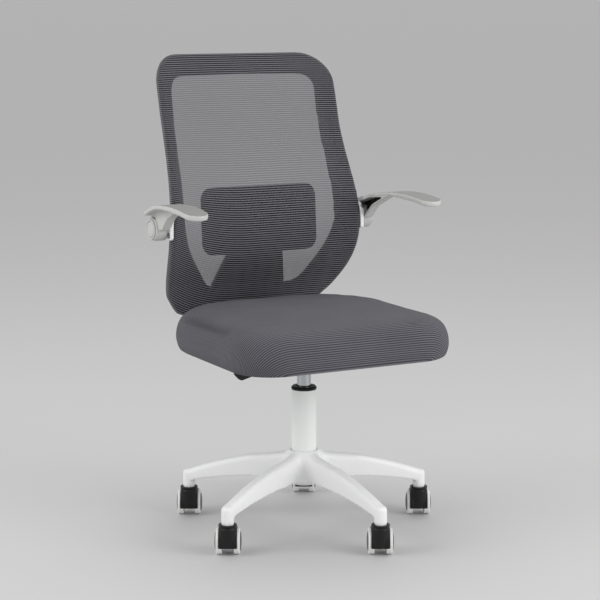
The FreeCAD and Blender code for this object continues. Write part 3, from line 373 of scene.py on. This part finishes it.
# Birch plywood: warm pale brown with long darker streaks. It lies level with the cover's underside.
plywood, plywood_tree, plywood_shader = empty_finish("birch_plywood")
plywood_place = add_node(plywood_tree, "ShaderNodeTexCoord").outputs["Object"]
plywood_long = add_node(plywood_tree, "ShaderNodeMapping",
                        inputs={"Vector": plywood_place, "Scale": PLYWOOD_STRETCH})
plywood_grain = add_node(plywood_tree, "ShaderNodeTexNoise",
                         inputs={"Vector": plywood_long.outputs["Vector"],
                                 "Scale": 1 / PLYWOOD_GRAIN, "Detail": 6})
plywood_shade = add_node(plywood_tree, "ShaderNodeMix", {"data_type": "RGBA"},
                         {"Factor": plywood_grain.outputs["Fac"],
                          "A": linear("#b08e63"), "B": linear("#8d6c45")})
plywood_tree.links.new(plywood_shade.outputs["Result"], plywood_shader.inputs["Base Color"])
plywood_shader.inputs["Roughness"].default_value = 0.7
dress(plywood, "seat_board")
dress(bright_steel, "seat_bolts", "back_bolts", "bracket_bolts")

seat_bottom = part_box("seat_cushion")[0].z
seat_girth = seat_bottom + SEAT_FOOT_HEIGHT
seat_shoulder = seat_girth + SEAT_RISE


def seat_edge(inset):
    """Points round the seat, drawn in from its widest outline, with turned corners."""
    half = SEAT_HALF_WIDTH - inset
    front = SEAT_FRONT + inset
    rear = SEAT_REAR - inset
    front_corner = max(SEAT_FRONT_CORNER - inset / 2, SEAT_LEAST_CORNER)
    rear_corner = max(SEAT_REAR_CORNER - inset / 2, SEAT_LEAST_CORNER)
    room = min(half, (rear - front) / 2) - SEAT_LEAST_ROOM
    corners = ((half, rear, -1, -1, rear_corner, 0), (-half, rear, 1, -1, rear_corner, 90),
               (-half, front, 1, 1, front_corner, 180), (half, front, -1, 1, front_corner, 270))
    points = []
    for x, y, inward_x, inward_y, radius, start in corners:
        radius = min(radius, room)
        for step in range(SEAT_CORNER_STEPS + 1):
            angle = math.radians(start + 90 * step / SEAT_CORNER_STEPS)
            points.append((x + inward_x * radius + radius * math.cos(angle),
                           y + inward_y * radius + radius * math.sin(angle)))
    return points


def sagged(x, y, rise):
    """Place on the cover's lower edge, which hangs below the board except over the back bar."""
    hang = SEAT_SAG * min(max((SEAT_SAG_END - y) / SEAT_SAG_FADE, 0), 1)
    return x, y, seat_bottom + rise - hang


def ring_solid(name, rings):
    """Closed mesh through rings of equal length, capped at both ends."""
    shape = bmesh.new()
    loops = [[shape.verts.new(point) for point in ring] for ring in rings]
    for lower, upper in zip(loops, loops[1:]):
        for index in range(len(lower)):
            after = (index + 1) % len(lower)
            shape.faces.new((lower[index], lower[after], upper[after], upper[index]))
    shape.faces.new(list(reversed(loops[0])))
    shape.faces.new(loops[-1])
    bmesh.ops.recalc_face_normals(shape, faces=shape.faces)
    mesh = bpy.data.meshes.new(name)
    shape.to_mesh(mesh)
    shape.free()
    return new_piece(name, mesh)


def swell(made, pinned, cap):
    """Blow a cover up over its foam with cloth pressure, and hold each point within a cap."""
    group = made.vertex_groups.new(name="stapled")
    group.add([int(index) for index in np.nonzero(pinned)[0]], 1, "REPLACE")
    start = points_of(made.data)
    cloth = made.modifiers.new("cover", "CLOTH")
    cloth.settings.quality = CLOTH_QUALITY
    cloth.settings.mass = CLOTH_MASS
    cloth.settings.tension_stiffness = CLOTH_STIFFNESS
    cloth.settings.compression_stiffness = CLOTH_STIFFNESS
    cloth.settings.bending_stiffness = CLOTH_BENDING
    cloth.settings.vertex_group_mass = "stapled"
    cloth.settings.use_pressure = True
    cloth.settings.uniform_pressure_force = CLOTH_PRESSURE
    cloth.settings.effector_weights.gravity = 0
    cloth.collision_settings.use_collision = False
    for moment in range(1, CLOTH_FRAMES + 1):
        bpy.context.scene.frame_set(moment)
    settle(made)
    bpy.context.scene.frame_set(1)
    step = points_of(made.data) - start
    length = np.linalg.norm(step, axis=1, keepdims=True)
    set_points(made.data, start + step * np.minimum(1, cap / np.maximum(length, TINY)))


def divide(made):
    """Split each face in four, and round the mesh off as it goes."""
    finer = made.modifiers.new("finer", "SUBSURF")
    finer.levels = 1
    finer.render_levels = 1
    settle(made)
    shade_round(made.data)


def near_line(points, start, end, width):
    """How near each point is to a line, from 1 on it to 0 well beside it. The line is in millimetres."""
    start, end = np.array(start) * MM, np.array(end) * MM
    along = end - start
    share = np.clip((points - start) @ along / (along @ along), 0, 1)
    distance = np.linalg.norm(points - start - share[:, None] * along, axis=1)
    return np.exp(-(distance / (width * MM)) ** 2) * np.sqrt(4 * share * (1 - share))


def keep_values(mesh, name, values):
    """One value for each point, for a material to read."""
    kept = mesh.attributes.new(name, "FLOAT", "POINT")
    kept.data.foreach_set("value", values.astype(np.float32))


def rib_wave(tree, pitch):
    """Height of the ribs, 0 to 1, from the cover's own rib coordinate in metres."""
    along = add_node(tree, "ShaderNodeAttribute", {"attribute_name": "rib"})
    turns = add_node(tree, "ShaderNodeMath", {"operation": "MULTIPLY"},
                     {0: along.outputs["Fac"], 1: 2 * math.pi / pitch})
    wave = add_node(tree, "ShaderNodeMath", {"operation": "SINE"}, {0: turns.outputs[0]})
    height = add_node(tree, "ShaderNodeMapRange", inputs={"Value": wave.outputs[0], "From Min": -1})
    return height.outputs["Result"]


# The cover's rings, from the middle of its underside over the hem and the roll to the crown.
seat_rings = [[(x, y, seat_bottom) for x, y in seat_edge(inset)]
              for inset in (SEAT_UNDER_INSET, SEAT_FLAT_INSET)]
seat_rings.append([sagged(x, y, 0) for x, y in seat_edge(SEAT_HEM_INSET)])
seat_rings.append([sagged(x, y, SEAT_HEM_RISE) for x, y in seat_edge(SEAT_FOOT_INSET)])
roll_insets = []
roll_levels = []
for share in np.linspace(0, SEAT_ROLL_END, SEAT_ROLL_STEPS):
    full = (1 - share ** SEAT_ROLL_FULLNESS) ** (1 / SEAT_ROLL_FULLNESS)
    roll_insets.append(SEAT_SHRINK + SEAT_ROLL * (1 - full))
    roll_levels.append(seat_girth + (SEAT_RISE - SEAT_SHRINK) * share)
    seat_rings.append([(x, y, roll_levels[-1]) for x, y in seat_edge(roll_insets[-1])])
for share in np.linspace(SEAT_CROWN_START, 1, SEAT_CROWN_STEPS):
    inset = SEAT_ROLL * (SEAT_CROWN_INSET + SEAT_CROWN_REACH * share)
    level = seat_shoulder - SEAT_SHRINK + SEAT_CROWN * math.sin(share * math.pi / 2) - SEAT_CROWN_DIP
    seat_rings.append([(x, y, level) for x, y in seat_edge(inset)])
cushion = ring_solid("seat_cover", seat_rings)
even_skin(cushion, SEAT_VOXEL)
swell(cushion, points_of(cushion.data)[:, 2] < seat_bottom + SEAT_STAPLED, SEAT_SWELL_CAP)
ease(cushion, SEAT_PASSES)
divide(cushion)

seat_points = points_of(cushion.data)
seat_normals = normals_of(cushion.data)
seat_fold = np.zeros(len(seat_points))
for start, end, depth, width in SEAT_CREASES:
    folded = near_line(seat_points, start, end, width)
    seat_points -= seat_normals * (depth * MM * folded)[:, None]
    seat_fold = np.maximum(seat_fold, folded)
set_points(cushion.data, seat_points)
# The crease weight is kept so that the knit can be painted darker there, as shade.
keep_values(cushion.data, "fold", seat_fold)

# Ribs run across the seat. They count how far the knit lies from the rear, over the top and
# down the front, so that they hang upright at the sides and fan out round the front corners.
down_insets = np.array([SEAT_FOOT_INSET] + roll_insets)
down_levels = np.array([seat_bottom - SEAT_SAG] + roll_levels)
steps_down = np.hypot(np.diff(down_insets), np.diff(down_levels))
knit_below = np.append(np.cumsum(steps_down[::-1])[::-1], 0)
extra_knit = np.interp(seat_points[:, 2], down_levels, knit_below - (down_insets[-1] - down_insets))
past_side = np.maximum(np.abs(seat_points[:, 0]) - (SEAT_HALF_WIDTH - SEAT_FRONT_CORNER), 0)
past_front = np.maximum(SEAT_FRONT + SEAT_FRONT_CORNER - seat_points[:, 1], 0)
over_front = past_front / np.maximum(np.hypot(past_side, past_front), TINY)
keep_values(cushion.data, "rib", seat_points[:, 1] - over_front * extra_knit)

# Polyester rib knit: matte, with rounded ribs, a painted highlight on their crests and painted shade in the
# grooves between them, and a loose fuzz that lightens it at grazing angles. Its shade drifts a little, and
# painted shade darkens it in the creases.
rib_knit, knit_tree, knit_shader = empty_finish("grey_polyester_rib_knit")
knit_rib = rib_wave(knit_tree, SEAT_RIB_PITCH)
knit_place = add_node(knit_tree, "ShaderNodeTexCoord").outputs["Object"]
knit_fuzz = add_node(knit_tree, "ShaderNodeTexNoise",
                     inputs={"Vector": knit_place, "Scale": 1 / KNIT_FUZZ, "Detail": 3})
knit_wear = add_node(knit_tree, "ShaderNodeTexNoise",
                     inputs={"Vector": knit_place, "Scale": 1 / KNIT_WEAR, "Detail": 2})
knit_height = add_node(knit_tree, "ShaderNodeMath", {"operation": "MULTIPLY_ADD"},
                       {0: knit_fuzz.outputs["Fac"], 1: 0.2, 2: knit_rib})
knit_mix = add_node(knit_tree, "ShaderNodeMapRange",
                    inputs={"Value": knit_height.outputs[0], "From Min": 0.3, "From Max": 1.05})
# Painted light and shade: the rib crests are coloured lighter and the grooves darker.
knit_shade = add_node(knit_tree, "ShaderNodeMix", {"data_type": "RGBA"},
                      {"Factor": knit_mix.outputs["Result"], "A": linear("#3f3e44"), "B": linear("#76757d")})
knit_aged = add_node(knit_tree, "ShaderNodeMix", {"data_type": "RGBA", "blend_type": "MULTIPLY"},
                     {"Factor": 0.25, "A": knit_shade.outputs["Result"], "B": knit_wear.outputs["Fac"]})
# Painted shade: the knit's colour is multiplied darker along the creases.
knit_fold = add_node(knit_tree, "ShaderNodeAttribute", {"attribute_name": "fold"})
knit_painted_crease_shade = add_node(knit_tree, "ShaderNodeMix", {"data_type": "RGBA"},
                      {"Factor": knit_fold.outputs["Fac"], "A": linear("#ffffff"), "B": linear("#d2d2d2")})
knit_final = add_node(knit_tree, "ShaderNodeMix", {"data_type": "RGBA", "blend_type": "MULTIPLY"},
                      {"Factor": 1, "A": knit_aged.outputs["Result"], "B": knit_painted_crease_shade.outputs["Result"]})
knit_bump = add_node(knit_tree, "ShaderNodeBump",
                     inputs={"Height": knit_height.outputs[0], "Distance": KNIT_RELIEF, "Strength": 0.8})
knit_tree.links.new(knit_final.outputs["Result"], knit_shader.inputs["Base Color"])
knit_tree.links.new(knit_bump.outputs["Normal"], knit_shader.inputs["Normal"])
knit_shader.inputs["Roughness"].default_value = 0.9
knit_shader.inputs["Specular IOR Level"].default_value = 0.25
knit_shader.inputs["Sheen Weight"].default_value = 0.06
knit_shader.inputs["Sheen Roughness"].default_value = 0.5
cushion.data.materials.append(rib_knit)
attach(cushion, "seat")
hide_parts("seat_cushion")

# Back bar and frame
# A black steel bar comes up from under the seat and carries the frame and the pad.
# The frame is one dark glass-filled nylon loop with rounded rims, and the mesh goes over it.
FRAME_VOXEL = 3 * MM
FRAME_PASSES = 12
BAR_VOXEL = 2 * MM
# The lip inside the opening leans inward and back at the sides, which is told by the turn from straight up.
LIP_WIDTH = 22 * MM
LIP_FRONT = -8 * MM
LIP_REAR = 11 * MM
LIP_DEPTH = 22 * MM
LIP_TURNS = [math.radians(angle) for angle in (0, 35, 55, 128, 150, 180)]
LIP_SHARES = (0, 0.4, 1, 1, 0, 0)
LIP_LOWEST = math.radians(150)
LIP_FOOT = (55 * MM, 85 * MM)
LIP_FACING = (-0.6, 0.6)
LIP_WEDGES = 240
LIP_BLUR = 4
LIP_PASSES = 60
# Dark nylon: charcoal and matte, which the grey knit in front of it turns to a deep grey.
dark_nylon = moulded_plastic("dark_nylon_moulded", "#2a2a2e", "#242427",
                             roughness=0.5, grain=1.8, relief=0.03, ior=1.4)
frame_skin = copy_of("back_frame", "frame_skin")
even_skin(frame_skin, FRAME_VOXEL)
frame_points = points_of(frame_skin.data)
frame_low, frame_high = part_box("back_frame")
frame_middle = (frame_low.z + frame_high.z) / 2
away = np.hypot(frame_points[:, 0], frame_points[:, 2] - frame_middle)
turn = np.arctan2(frame_points[:, 0], frame_points[:, 2] - frame_middle)
wedge = ((turn + math.pi) / (2 * math.pi) * LIP_WEDGES).astype(int) % LIP_WEDGES
wedge_turns = np.linspace(-math.pi, math.pi, LIP_WEDGES, endpoint=False) + math.pi / LIP_WEDGES
opening_reach = np.array([away[wedge == place].min() for place in range(LIP_WEDGES)])
opening_reach = np.mean([np.roll(opening_reach, place) for place in range(-LIP_BLUR, LIP_BLUR + 1)], axis=0)
beyond = away - np.interp(turn, wedge_turns, opening_reach, period=2 * math.pi)
rear_share = np.interp(normals_of(frame_skin.data)[:, 1], LIP_FACING, (0, 1))
side_share = np.interp(np.abs(turn), LIP_TURNS, LIP_SHARES)
foot_share = np.interp(np.abs(frame_points[:, 0]), LIP_FOOT, (0, 1))
at_edge = np.clip(1 - beyond / LIP_WIDTH, 0, 1)
at_edge = np.where(np.abs(turn) > LIP_LOWEST, at_edge * foot_share, at_edge)
inward = at_edge * (LIP_FRONT * (1 - rear_share) + LIP_REAR * side_share * rear_share)
backward = at_edge * LIP_DEPTH * side_share * rear_share
frame_points += np.stack([-np.sin(turn) * inward, backward, -np.cos(turn) * inward], 1)
set_points(frame_skin.data, frame_points)
ease(frame_skin, FRAME_PASSES)
ease(frame_skin, LIP_PASSES, at_edge)
frame_skin.data.materials.append(dark_nylon)
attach(frame_skin, "seat")
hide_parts("back_frame")
soften("back_bar", BAR_VOXEL)
dress(black_paint, "back_bar")

# Lumbar pad
# A slab of foam in dark cloth, glued to the head of the bar a little behind the mesh.
# It is crowned towards the sitter and its edges are rolled.
PAD_FORWARD = 10 * MM
PAD_LONGER = 7 * MM
PAD_VOXEL = 4 * MM
PAD_PASSES = 10
PAD_WEAVE = 2 * MM
PAD_RELIEF = 0.3 * MM
pad = copy_of("lumbar_pad", "lumbar_cover")
even_skin(pad, PAD_VOXEL)
pad_points = points_of(pad.data)
pad_low, pad_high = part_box("lumbar_pad")
pad_points[:, 1] -= PAD_FORWARD
pad_points[:, 2] -= PAD_LONGER * (pad_high.z - pad_points[:, 2]) / (pad_high.z - pad_low.z)
set_points(pad.data, pad_points)
ease(pad, PAD_PASSES)
divide(pad)
# Dark cloth: charcoal, with a small dry weave that only shows from near.
pad_cloth, pad_tree, pad_shader = empty_finish("dark_polyester_cloth")
pad_place = add_node(pad_tree, "ShaderNodeTexCoord").outputs["Object"]
pad_weave = add_node(pad_tree, "ShaderNodeTexVoronoi", inputs={"Vector": pad_place, "Scale": 1 / PAD_WEAVE})
pad_shade = add_node(pad_tree, "ShaderNodeMix", {"data_type": "RGBA"},
                     {"Factor": pad_weave.outputs["Distance"],
                      "A": linear("#2b2b2f"), "B": linear("#1e1e21")})
pad_bump = add_node(pad_tree, "ShaderNodeBump",
                    inputs={"Height": pad_weave.outputs["Distance"], "Distance": PAD_RELIEF, "Strength": 0.5})
pad_tree.links.new(pad_shade.outputs["Result"], pad_shader.inputs["Base Color"])
pad_tree.links.new(pad_bump.outputs["Normal"], pad_shader.inputs["Normal"])
pad_shader.inputs["Roughness"].default_value = 0.9
pad_shader.inputs["Sheen Weight"].default_value = 0.2
pad.data.materials.append(pad_cloth)
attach(pad, "seat")
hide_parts("lumbar_pad")

# Back mesh
# One open rib knit, drawn tight over the front of the frame and round its rim, and
# held in a groove behind. Light comes through between its ribs where nothing is behind it.
RIM_FRONT = 7 * MM
RIM_REAR = 4 * MM
RIM_DEPTH = 22 * MM
RIM_STAND = 0.6 * MM
TURN_STEPS = 5
MESH_RINGS = 64
OUTLINE_STEPS = 260
OUTLINE_NEAR = 2
RAY_FROM = -1
SEARCH_REACH = 0.5
SEARCH_STEPS = 22
BULGE_SPREAD = 70 * MM
MESH_RIB_PITCH = 4.2 * MM
LEVEL_STEPS = 200
LEVEL_MARGIN = 1 * MM
# The knit is drawn out towards its foot, where its ribs also climb to the sitter's right edge.
DRAWN_OUT = 0.85
DRAWN_UP = 56 * MM
DRAWN_FROM = 40 * MM
DRAWN_EDGE = 215 * MM
DRAWN_BELOW = 405 * MM
LEVEL_ABOVE = 850 * MM
# It is denser low down, by the length of knit from its foot.
DENSE_BELOW = 90 * MM
OPEN_ABOVE = 190 * MM
OPEN_FUZZ = 1.6 * MM
OPEN_RELIEF = 0.8 * MM
back_node = nodes["back_mesh"].data
back_tree = BVHTree.FromPolygons([vert.co for vert in back_node.vertices],
                                 [face.vertices for face in back_node.polygons])
back_low, back_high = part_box("back_mesh")
back_centre = Vector((0, 0, (back_low.z + back_high.z) / 2))


def front_of_back(x, z):
    """Front of the stretched mesh at a place seen from the front."""
    hit = back_tree.ray_cast(Vector((x, RAY_FROM, z)), Vector((0, 1, 0)))[0]
    return None if hit is None else hit.y


def edge_towards(angle):
    """Furthest place of the back from its middle, in a direction seen from the front."""
    out = Vector((math.sin(angle), 0, math.cos(angle)))
    near, far = 0, SEARCH_REACH
    for _ in range(SEARCH_STEPS):
        middle = (near + far) / 2
        spot = back_centre + out * middle
        if front_of_back(spot.x, spot.z) is None:
            far = middle
        else:
            near = middle
    return back_centre + out * near


def bulge(x, z):
    """How far the pad presses the mesh forward at a place seen from the front."""
    beside = max(abs(x) - pad_high.x, 0) / BULGE_SPREAD
    beyond_end = max(z - pad_high.z, pad_low.z - PAD_LONGER - z, 0) / BULGE_SPREAD
    near = max(1 - math.hypot(beside, beyond_end), 0)
    return PAD_FORWARD * near * near * (3 - 2 * near)


outline = [edge_towards(2 * math.pi * step / OUTLINE_STEPS) for step in range(OUTLINE_STEPS)]
outward = []
for step in range(OUTLINE_STEPS):
    along = outline[(step + OUTLINE_NEAR) % OUTLINE_STEPS] - outline[step - OUTLINE_NEAR]
    outward.append(Vector((-along.z, 0, along.x)).normalized())
rim = [spot - out * RIM_FRONT for spot, out in zip(outline, outward)]
rim_front = [front_of_back(spot.x, spot.z) for spot in rim]

# Rings from the middle to the rim, then round the rim. Over the rim, the ribs go by the length
# of knit that has gone round it, and not by its height.
mesh_rings = []
for ring in range(1, MESH_RINGS + 1):
    share = ring / MESH_RINGS
    points = []
    for spot in rim:
        place = back_centre + (spot - back_centre) * share
        points.append((place.x, front_of_back(place.x, place.z) - bulge(place.x, place.z), place.z))
    mesh_rings.append(points)
wraps = []
for step in range(1, TURN_STEPS + 1):
    angle = math.radians(90 * step / TURN_STEPS)
    wraps.append(((RIM_FRONT + RIM_STAND) * math.sin(angle), RIM_FRONT * (1 - math.cos(angle))))
for step in range(TURN_STEPS + 1):
    angle = math.radians(90 * step / TURN_STEPS)
    wraps.append((RIM_FRONT + RIM_STAND - RIM_REAR * (1 - math.cos(angle)),
                  RIM_DEPTH - RIM_REAR * (1 - math.sin(angle))))
wraps.append((0, RIM_DEPTH))
over_rim = [0] * (1 + MESH_RINGS * OUTLINE_STEPS)
wrapped, last_reach, last_fall = 0, 0, 0
for reach, fall in wraps:
    wrapped += math.hypot(reach - last_reach, fall - last_fall)
    last_reach, last_fall = reach, fall
    over_rim += [out.z * (wrapped - reach) for out in outward]
    mesh_rings.append([(spot.x + out.x * reach, front + fall, spot.z + out.z * reach)
                       for spot, out, front in zip(rim, outward, rim_front)])

shape = bmesh.new()
middle_vert = shape.verts.new((0, front_of_back(0, back_centre.z) - bulge(0, back_centre.z), back_centre.z))
loops = [[shape.verts.new(point) for point in ring] for ring in mesh_rings]
for step in range(OUTLINE_STEPS):
    after = (step + 1) % OUTLINE_STEPS
    shape.faces.new((middle_vert, loops[0][step], loops[0][after]))
    for inner, outer in zip(loops, loops[1:]):
        shape.faces.new((inner[step], outer[step], outer[after], inner[after]))
bmesh.ops.recalc_face_normals(shape, faces=shape.faces)
cover_mesh = bpy.data.meshes.new("back_cover")
shape.to_mesh(cover_mesh)
shape.free()
back_cover = new_piece("back_cover", cover_mesh)
shade_round(cover_mesh)

levels = np.linspace(back_low.z + LEVEL_MARGIN, back_high.z - LEVEL_MARGIN, LEVEL_STEPS)
drawn_out = np.interp(levels[1:], (DRAWN_BELOW, LEVEL_ABOVE), (DRAWN_OUT, 1))
climb = np.concatenate([[0], np.cumsum(np.diff(levels) * drawn_out)])
cover_points = points_of(cover_mesh)
cover_rib = np.interp(cover_points[:, 2], levels, climb) + np.array(over_rim)
drawn_side = np.interp(-cover_points[:, 0], (DRAWN_FROM, DRAWN_EDGE), (0, 1)) ** 2
drawn_low = np.interp(cover_points[:, 2], (DRAWN_BELOW, LEVEL_ABOVE), (1, 0))
cover_rib -= DRAWN_UP * drawn_side * drawn_low ** 2 * (3 - 2 * drawn_low)
keep_values(cover_mesh, "rib", cover_rib)

# Open rib knit: a veil of fine light ribs and dark gaps. It greys what lies behind it, and
# lets the light of the room through where there is nothing.
open_knit, open_tree, open_shader = empty_finish("grey_polyester_open_knit")
open_rib = rib_wave(open_tree, MESH_RIB_PITCH)
open_place = add_node(open_tree, "ShaderNodeTexCoord").outputs["Object"]
open_fuzz = add_node(open_tree, "ShaderNodeTexNoise",
                     inputs={"Vector": open_place, "Scale": 1 / OPEN_FUZZ, "Detail": 2})
open_height = add_node(open_tree, "ShaderNodeMath", {"operation": "MULTIPLY_ADD"},
                       {0: open_fuzz.outputs["Fac"], 1: 0.3, 2: open_rib})
open_crest = add_node(open_tree, "ShaderNodeMapRange", inputs={"Value": open_rib, "From Min": 0.25})
open_shade = add_node(open_tree, "ShaderNodeMix", {"data_type": "RGBA"},
                      {"Factor": open_crest.outputs["Result"],
                       "A": linear("#19191c"), "B": linear("#86858c")})
open_cover = add_node(open_tree, "ShaderNodeMapRange",
                      inputs={"Value": open_height.outputs[0], "From Min": 0.1, "From Max": 1.2,
                              "To Min": 0.58, "To Max": 0.72})
open_climb = add_node(open_tree, "ShaderNodeAttribute", {"attribute_name": "rib"})
open_dense = add_node(open_tree, "ShaderNodeMapRange",
                      inputs={"Value": open_climb.outputs["Fac"],
                              "From Min": DENSE_BELOW, "From Max": OPEN_ABOVE, "To Min": 0.1, "To Max": 0})
open_alpha = add_node(open_tree, "ShaderNodeMath", {"operation": "ADD"},
                      {0: open_cover.outputs["Result"], 1: open_dense.outputs["Result"]})
open_bump = add_node(open_tree, "ShaderNodeBump",
                     inputs={"Height": open_height.outputs[0], "Distance": OPEN_RELIEF, "Strength": 0.6})
open_tree.links.new(open_shade.outputs["Result"], open_shader.inputs["Base Color"])
open_tree.links.new(open_alpha.outputs[0], open_shader.inputs["Alpha"])
open_tree.links.new(open_bump.outputs["Normal"], open_shader.inputs["Normal"])
open_shader.inputs["Roughness"].default_value = 0.85
open_shader.inputs["Specular IOR Level"].default_value = 0.25
open_shader.inputs["Sheen Weight"].default_value = 0.05
cover_mesh.materials.append(open_knit)
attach(back_cover, "seat")
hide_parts("back_mesh")

# Arms
# Each arm is a light grey nylon moulding that turns on a steel pin in a white bracket.
# The bracket is bolted to the edge of the frame, and a cap covers the pin's head.
ARM_VOXEL = 1.2 * MM
ARM_PASSES = 8
ARM_TOP_FACING = 0.6
ARM_UNDER_FACING = -0.3
ARM_TIP_DROP = 3.2 * MM
ARM_DROP_FROM = 70 * MM
HOLLOW_FLOOR = (7.6 * MM, 10.4 * MM)
HOLLOW_FACING = -0.7
HOLLOW_DEEPER = 9 * MM
HOLLOW_FRONT = 62 * MM
BRACKET_VOXEL = 1.2 * MM
CAP_STEPS = 56
# Radius and height of the cap's rim, its groove and its face, from the edge to the middle, in mm.
CAP_PROFILE = ((21, 0), (21, 2.3), (20.3, 3.2), (19.2, 3.5), (18.1, 3.2), (17.5, 2.3),
               (17.4, 0.4), (15.8, 0.4), (15.7, 2.2), (14.9, 2.9), (9, 3.2), (1, 3.3))
# Grey nylon: light and clean, with a soft highlight on its rounded edges.
grey_nylon = moulded_plastic("light_grey_nylon_moulded", "#c4c4c2", "#bdbdbb",
                             roughness=0.45, grain=1.8, relief=0.02)
# Soft-touch skin: a darker, dry grey on the pad's top, with hardly a highlight.
soft_touch = moulded_plastic("grey_soft_touch_skin", "#929291", "#8b8b8a",
                             roughness=0.6, grain=1.4, relief=0.03, ior=1.4)
arm_finishes = [grey_nylon, soft_touch, black_nylon]
# The hollow in the arm's inner side goes deeper and its floor is painted black as shade, and the tip is
# thicker below.
for side, outward_x in (("left", 1), ("right", -1)):
    arm_skin = copy_of(f"armrest_{side}", f"arm_skin_{side}")
    even_skin(arm_skin, ARM_VOXEL)
    arm_low, arm_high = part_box(f"armrest_{side}")
    cap_low, cap_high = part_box(f"arm_cap_{side}")
    arm_points = points_of(arm_skin.data)
    arm_normals = normals_of(arm_skin.data)
    from_inside = arm_points[:, 0] * outward_x - min(abs(arm_low.x), abs(arm_high.x))
    floor_of_hollow = ((from_inside > HOLLOW_FLOOR[0]) & (from_inside < HOLLOW_FLOOR[1])
                       & (arm_normals[:, 0] * outward_x < HOLLOW_FACING) & (arm_points[:, 1] > HOLLOW_FRONT))
    arm_points[floor_of_hollow, 0] += outward_x * HOLLOW_DEEPER
    under_pad = (arm_normals[:, 2] < ARM_UNDER_FACING) & (arm_points[:, 2] > cap_high.z)
    arm_points[under_pad, 2] -= ARM_TIP_DROP * np.clip(1 - arm_points[under_pad, 1] / ARM_DROP_FROM, 0, 1)
    set_points(arm_skin.data, arm_points)
    ease(arm_skin, ARM_PASSES)
    for finish in arm_finishes:
        arm_skin.data.materials.append(finish)
    for face in arm_skin.data.polygons:
        if face.normal.z > ARM_TOP_FACING and face.center.z > cap_high.z:
            face.material_index = arm_finishes.index(soft_touch)
        # Painted shade: the hollow's floor is given black nylon to stand for the shade inside it.
        elif floor_of_hollow[list(face.vertices)].all():
            face.material_index = arm_finishes.index(black_nylon)
    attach(arm_skin, f"arm_{side}")
    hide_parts(f"armrest_{side}")

    cap_base = min(abs(cap_low.x), abs(cap_high.x))
    cap_turns = np.linspace(0, 2 * math.pi, CAP_STEPS, endpoint=False)
    cap_rings = []
    for radius, height in CAP_PROFILE:
        cap_rings.append([(outward_x * (cap_base + height * MM),
                           (cap_low.y + cap_high.y) / 2 + radius * MM * math.cos(cap_turn),
                           (cap_low.z + cap_high.z) / 2 + radius * MM * math.sin(cap_turn))
                          for cap_turn in cap_turns])
    cap_skin = ring_solid(f"cap_skin_{side}", cap_rings)
    shade_round(cap_skin.data)
    cap_skin.data.materials.append(grey_nylon)
    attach(cap_skin, f"arm_{side}")
    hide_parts(f"arm_cap_{side}")

    soften(f"arm_bracket_{side}", BRACKET_VOXEL)
    dress(white_nylon, f"arm_bracket_{side}")
    dress(bright_steel, f"arm_pivot_{side}")

# Studio
# A pale grey floor that runs to the horizon, wide soft lamps, and the photograph's camera.
FLOOR_HALF = 400
WORLD_STRENGTH = 0.8
CAMERA_PLACE = Vector((-1.6973, -3.1753, 1.065))
CAMERA_TURN = math.radians(28)
CAMERA_PITCH = math.radians(9.49)
CAMERA_SENSOR = 36
CAMERA_LENS = 110.26


def soft_lamp(name, place, aim, size, power):
    """Square area lamp, turned to what it lights."""
    lamp = bpy.data.lights.new(name, "AREA")
    lamp.shape = "SQUARE"
    lamp.size = size
    lamp.energy = power
    made = bpy.data.objects.new(name, lamp)
    made.location = place
    made.rotation_euler = (Vector(aim) - Vector(place)).to_track_quat("-Z", "Y").to_euler()
    bpy.context.scene.collection.objects.link(made)


floor_mesh = bpy.data.meshes.new("studio_floor")
floor_mesh.from_pydata([(-FLOOR_HALF, -FLOOR_HALF, 0), (FLOOR_HALF, -FLOOR_HALF, 0),
                        (FLOOR_HALF, FLOOR_HALF, 0), (-FLOOR_HALF, FLOOR_HALF, 0)], [], [(0, 1, 2, 3)])
floor = new_piece("studio_floor", floor_mesh)
# Floor paint: plain and matte, so that only the chair's soft shadows mark it.
floor_paint, _, floor_shader = empty_finish("pale_grey_floor_paint")
floor_shader.inputs["Base Color"].default_value = linear("#c8c8c8")
floor_shader.inputs["Roughness"].default_value = 0.7
floor_mesh.materials.append(floor_paint)

world = bpy.data.worlds.new("studio")
world.use_nodes = True
bpy.context.scene.world = world
world_background = world.node_tree.nodes["Background"]
world_background.inputs["Color"].default_value = linear("#f2f2f2")
world_background.inputs["Strength"].default_value = WORLD_STRENGTH
soft_lamp("key_lamp", place=(-3.8, 0.3, 2.0), aim=(0, 0, 0.5), size=2.4, power=62)
soft_lamp("fill_lamp", place=(2.2, -3.3, 1.6), aim=(0, 0, 0.5), size=2.4, power=82)
soft_lamp("top_lamp", place=(0.3, 0.6, 3.4), aim=(0, 0, 0.4), size=2.6, power=15)

camera_data = bpy.data.cameras.new("camera")
camera_data.sensor_width = CAMERA_SENSOR
camera_data.lens = CAMERA_LENS
camera = bpy.data.objects.new("camera", camera_data)
camera.location = CAMERA_PLACE
look = Vector((math.sin(CAMERA_TURN) * math.cos(CAMERA_PITCH), math.cos(CAMERA_TURN) * math.cos(CAMERA_PITCH),
               -math.sin(CAMERA_PITCH)))
camera.rotation_euler = look.to_track_quat("-Z", "Y").to_euler()
bpy.context.scene.collection.objects.link(camera)
bpy.context.scene.camera = camera
bpy.context.scene.view_settings.view_transform = "Standard"
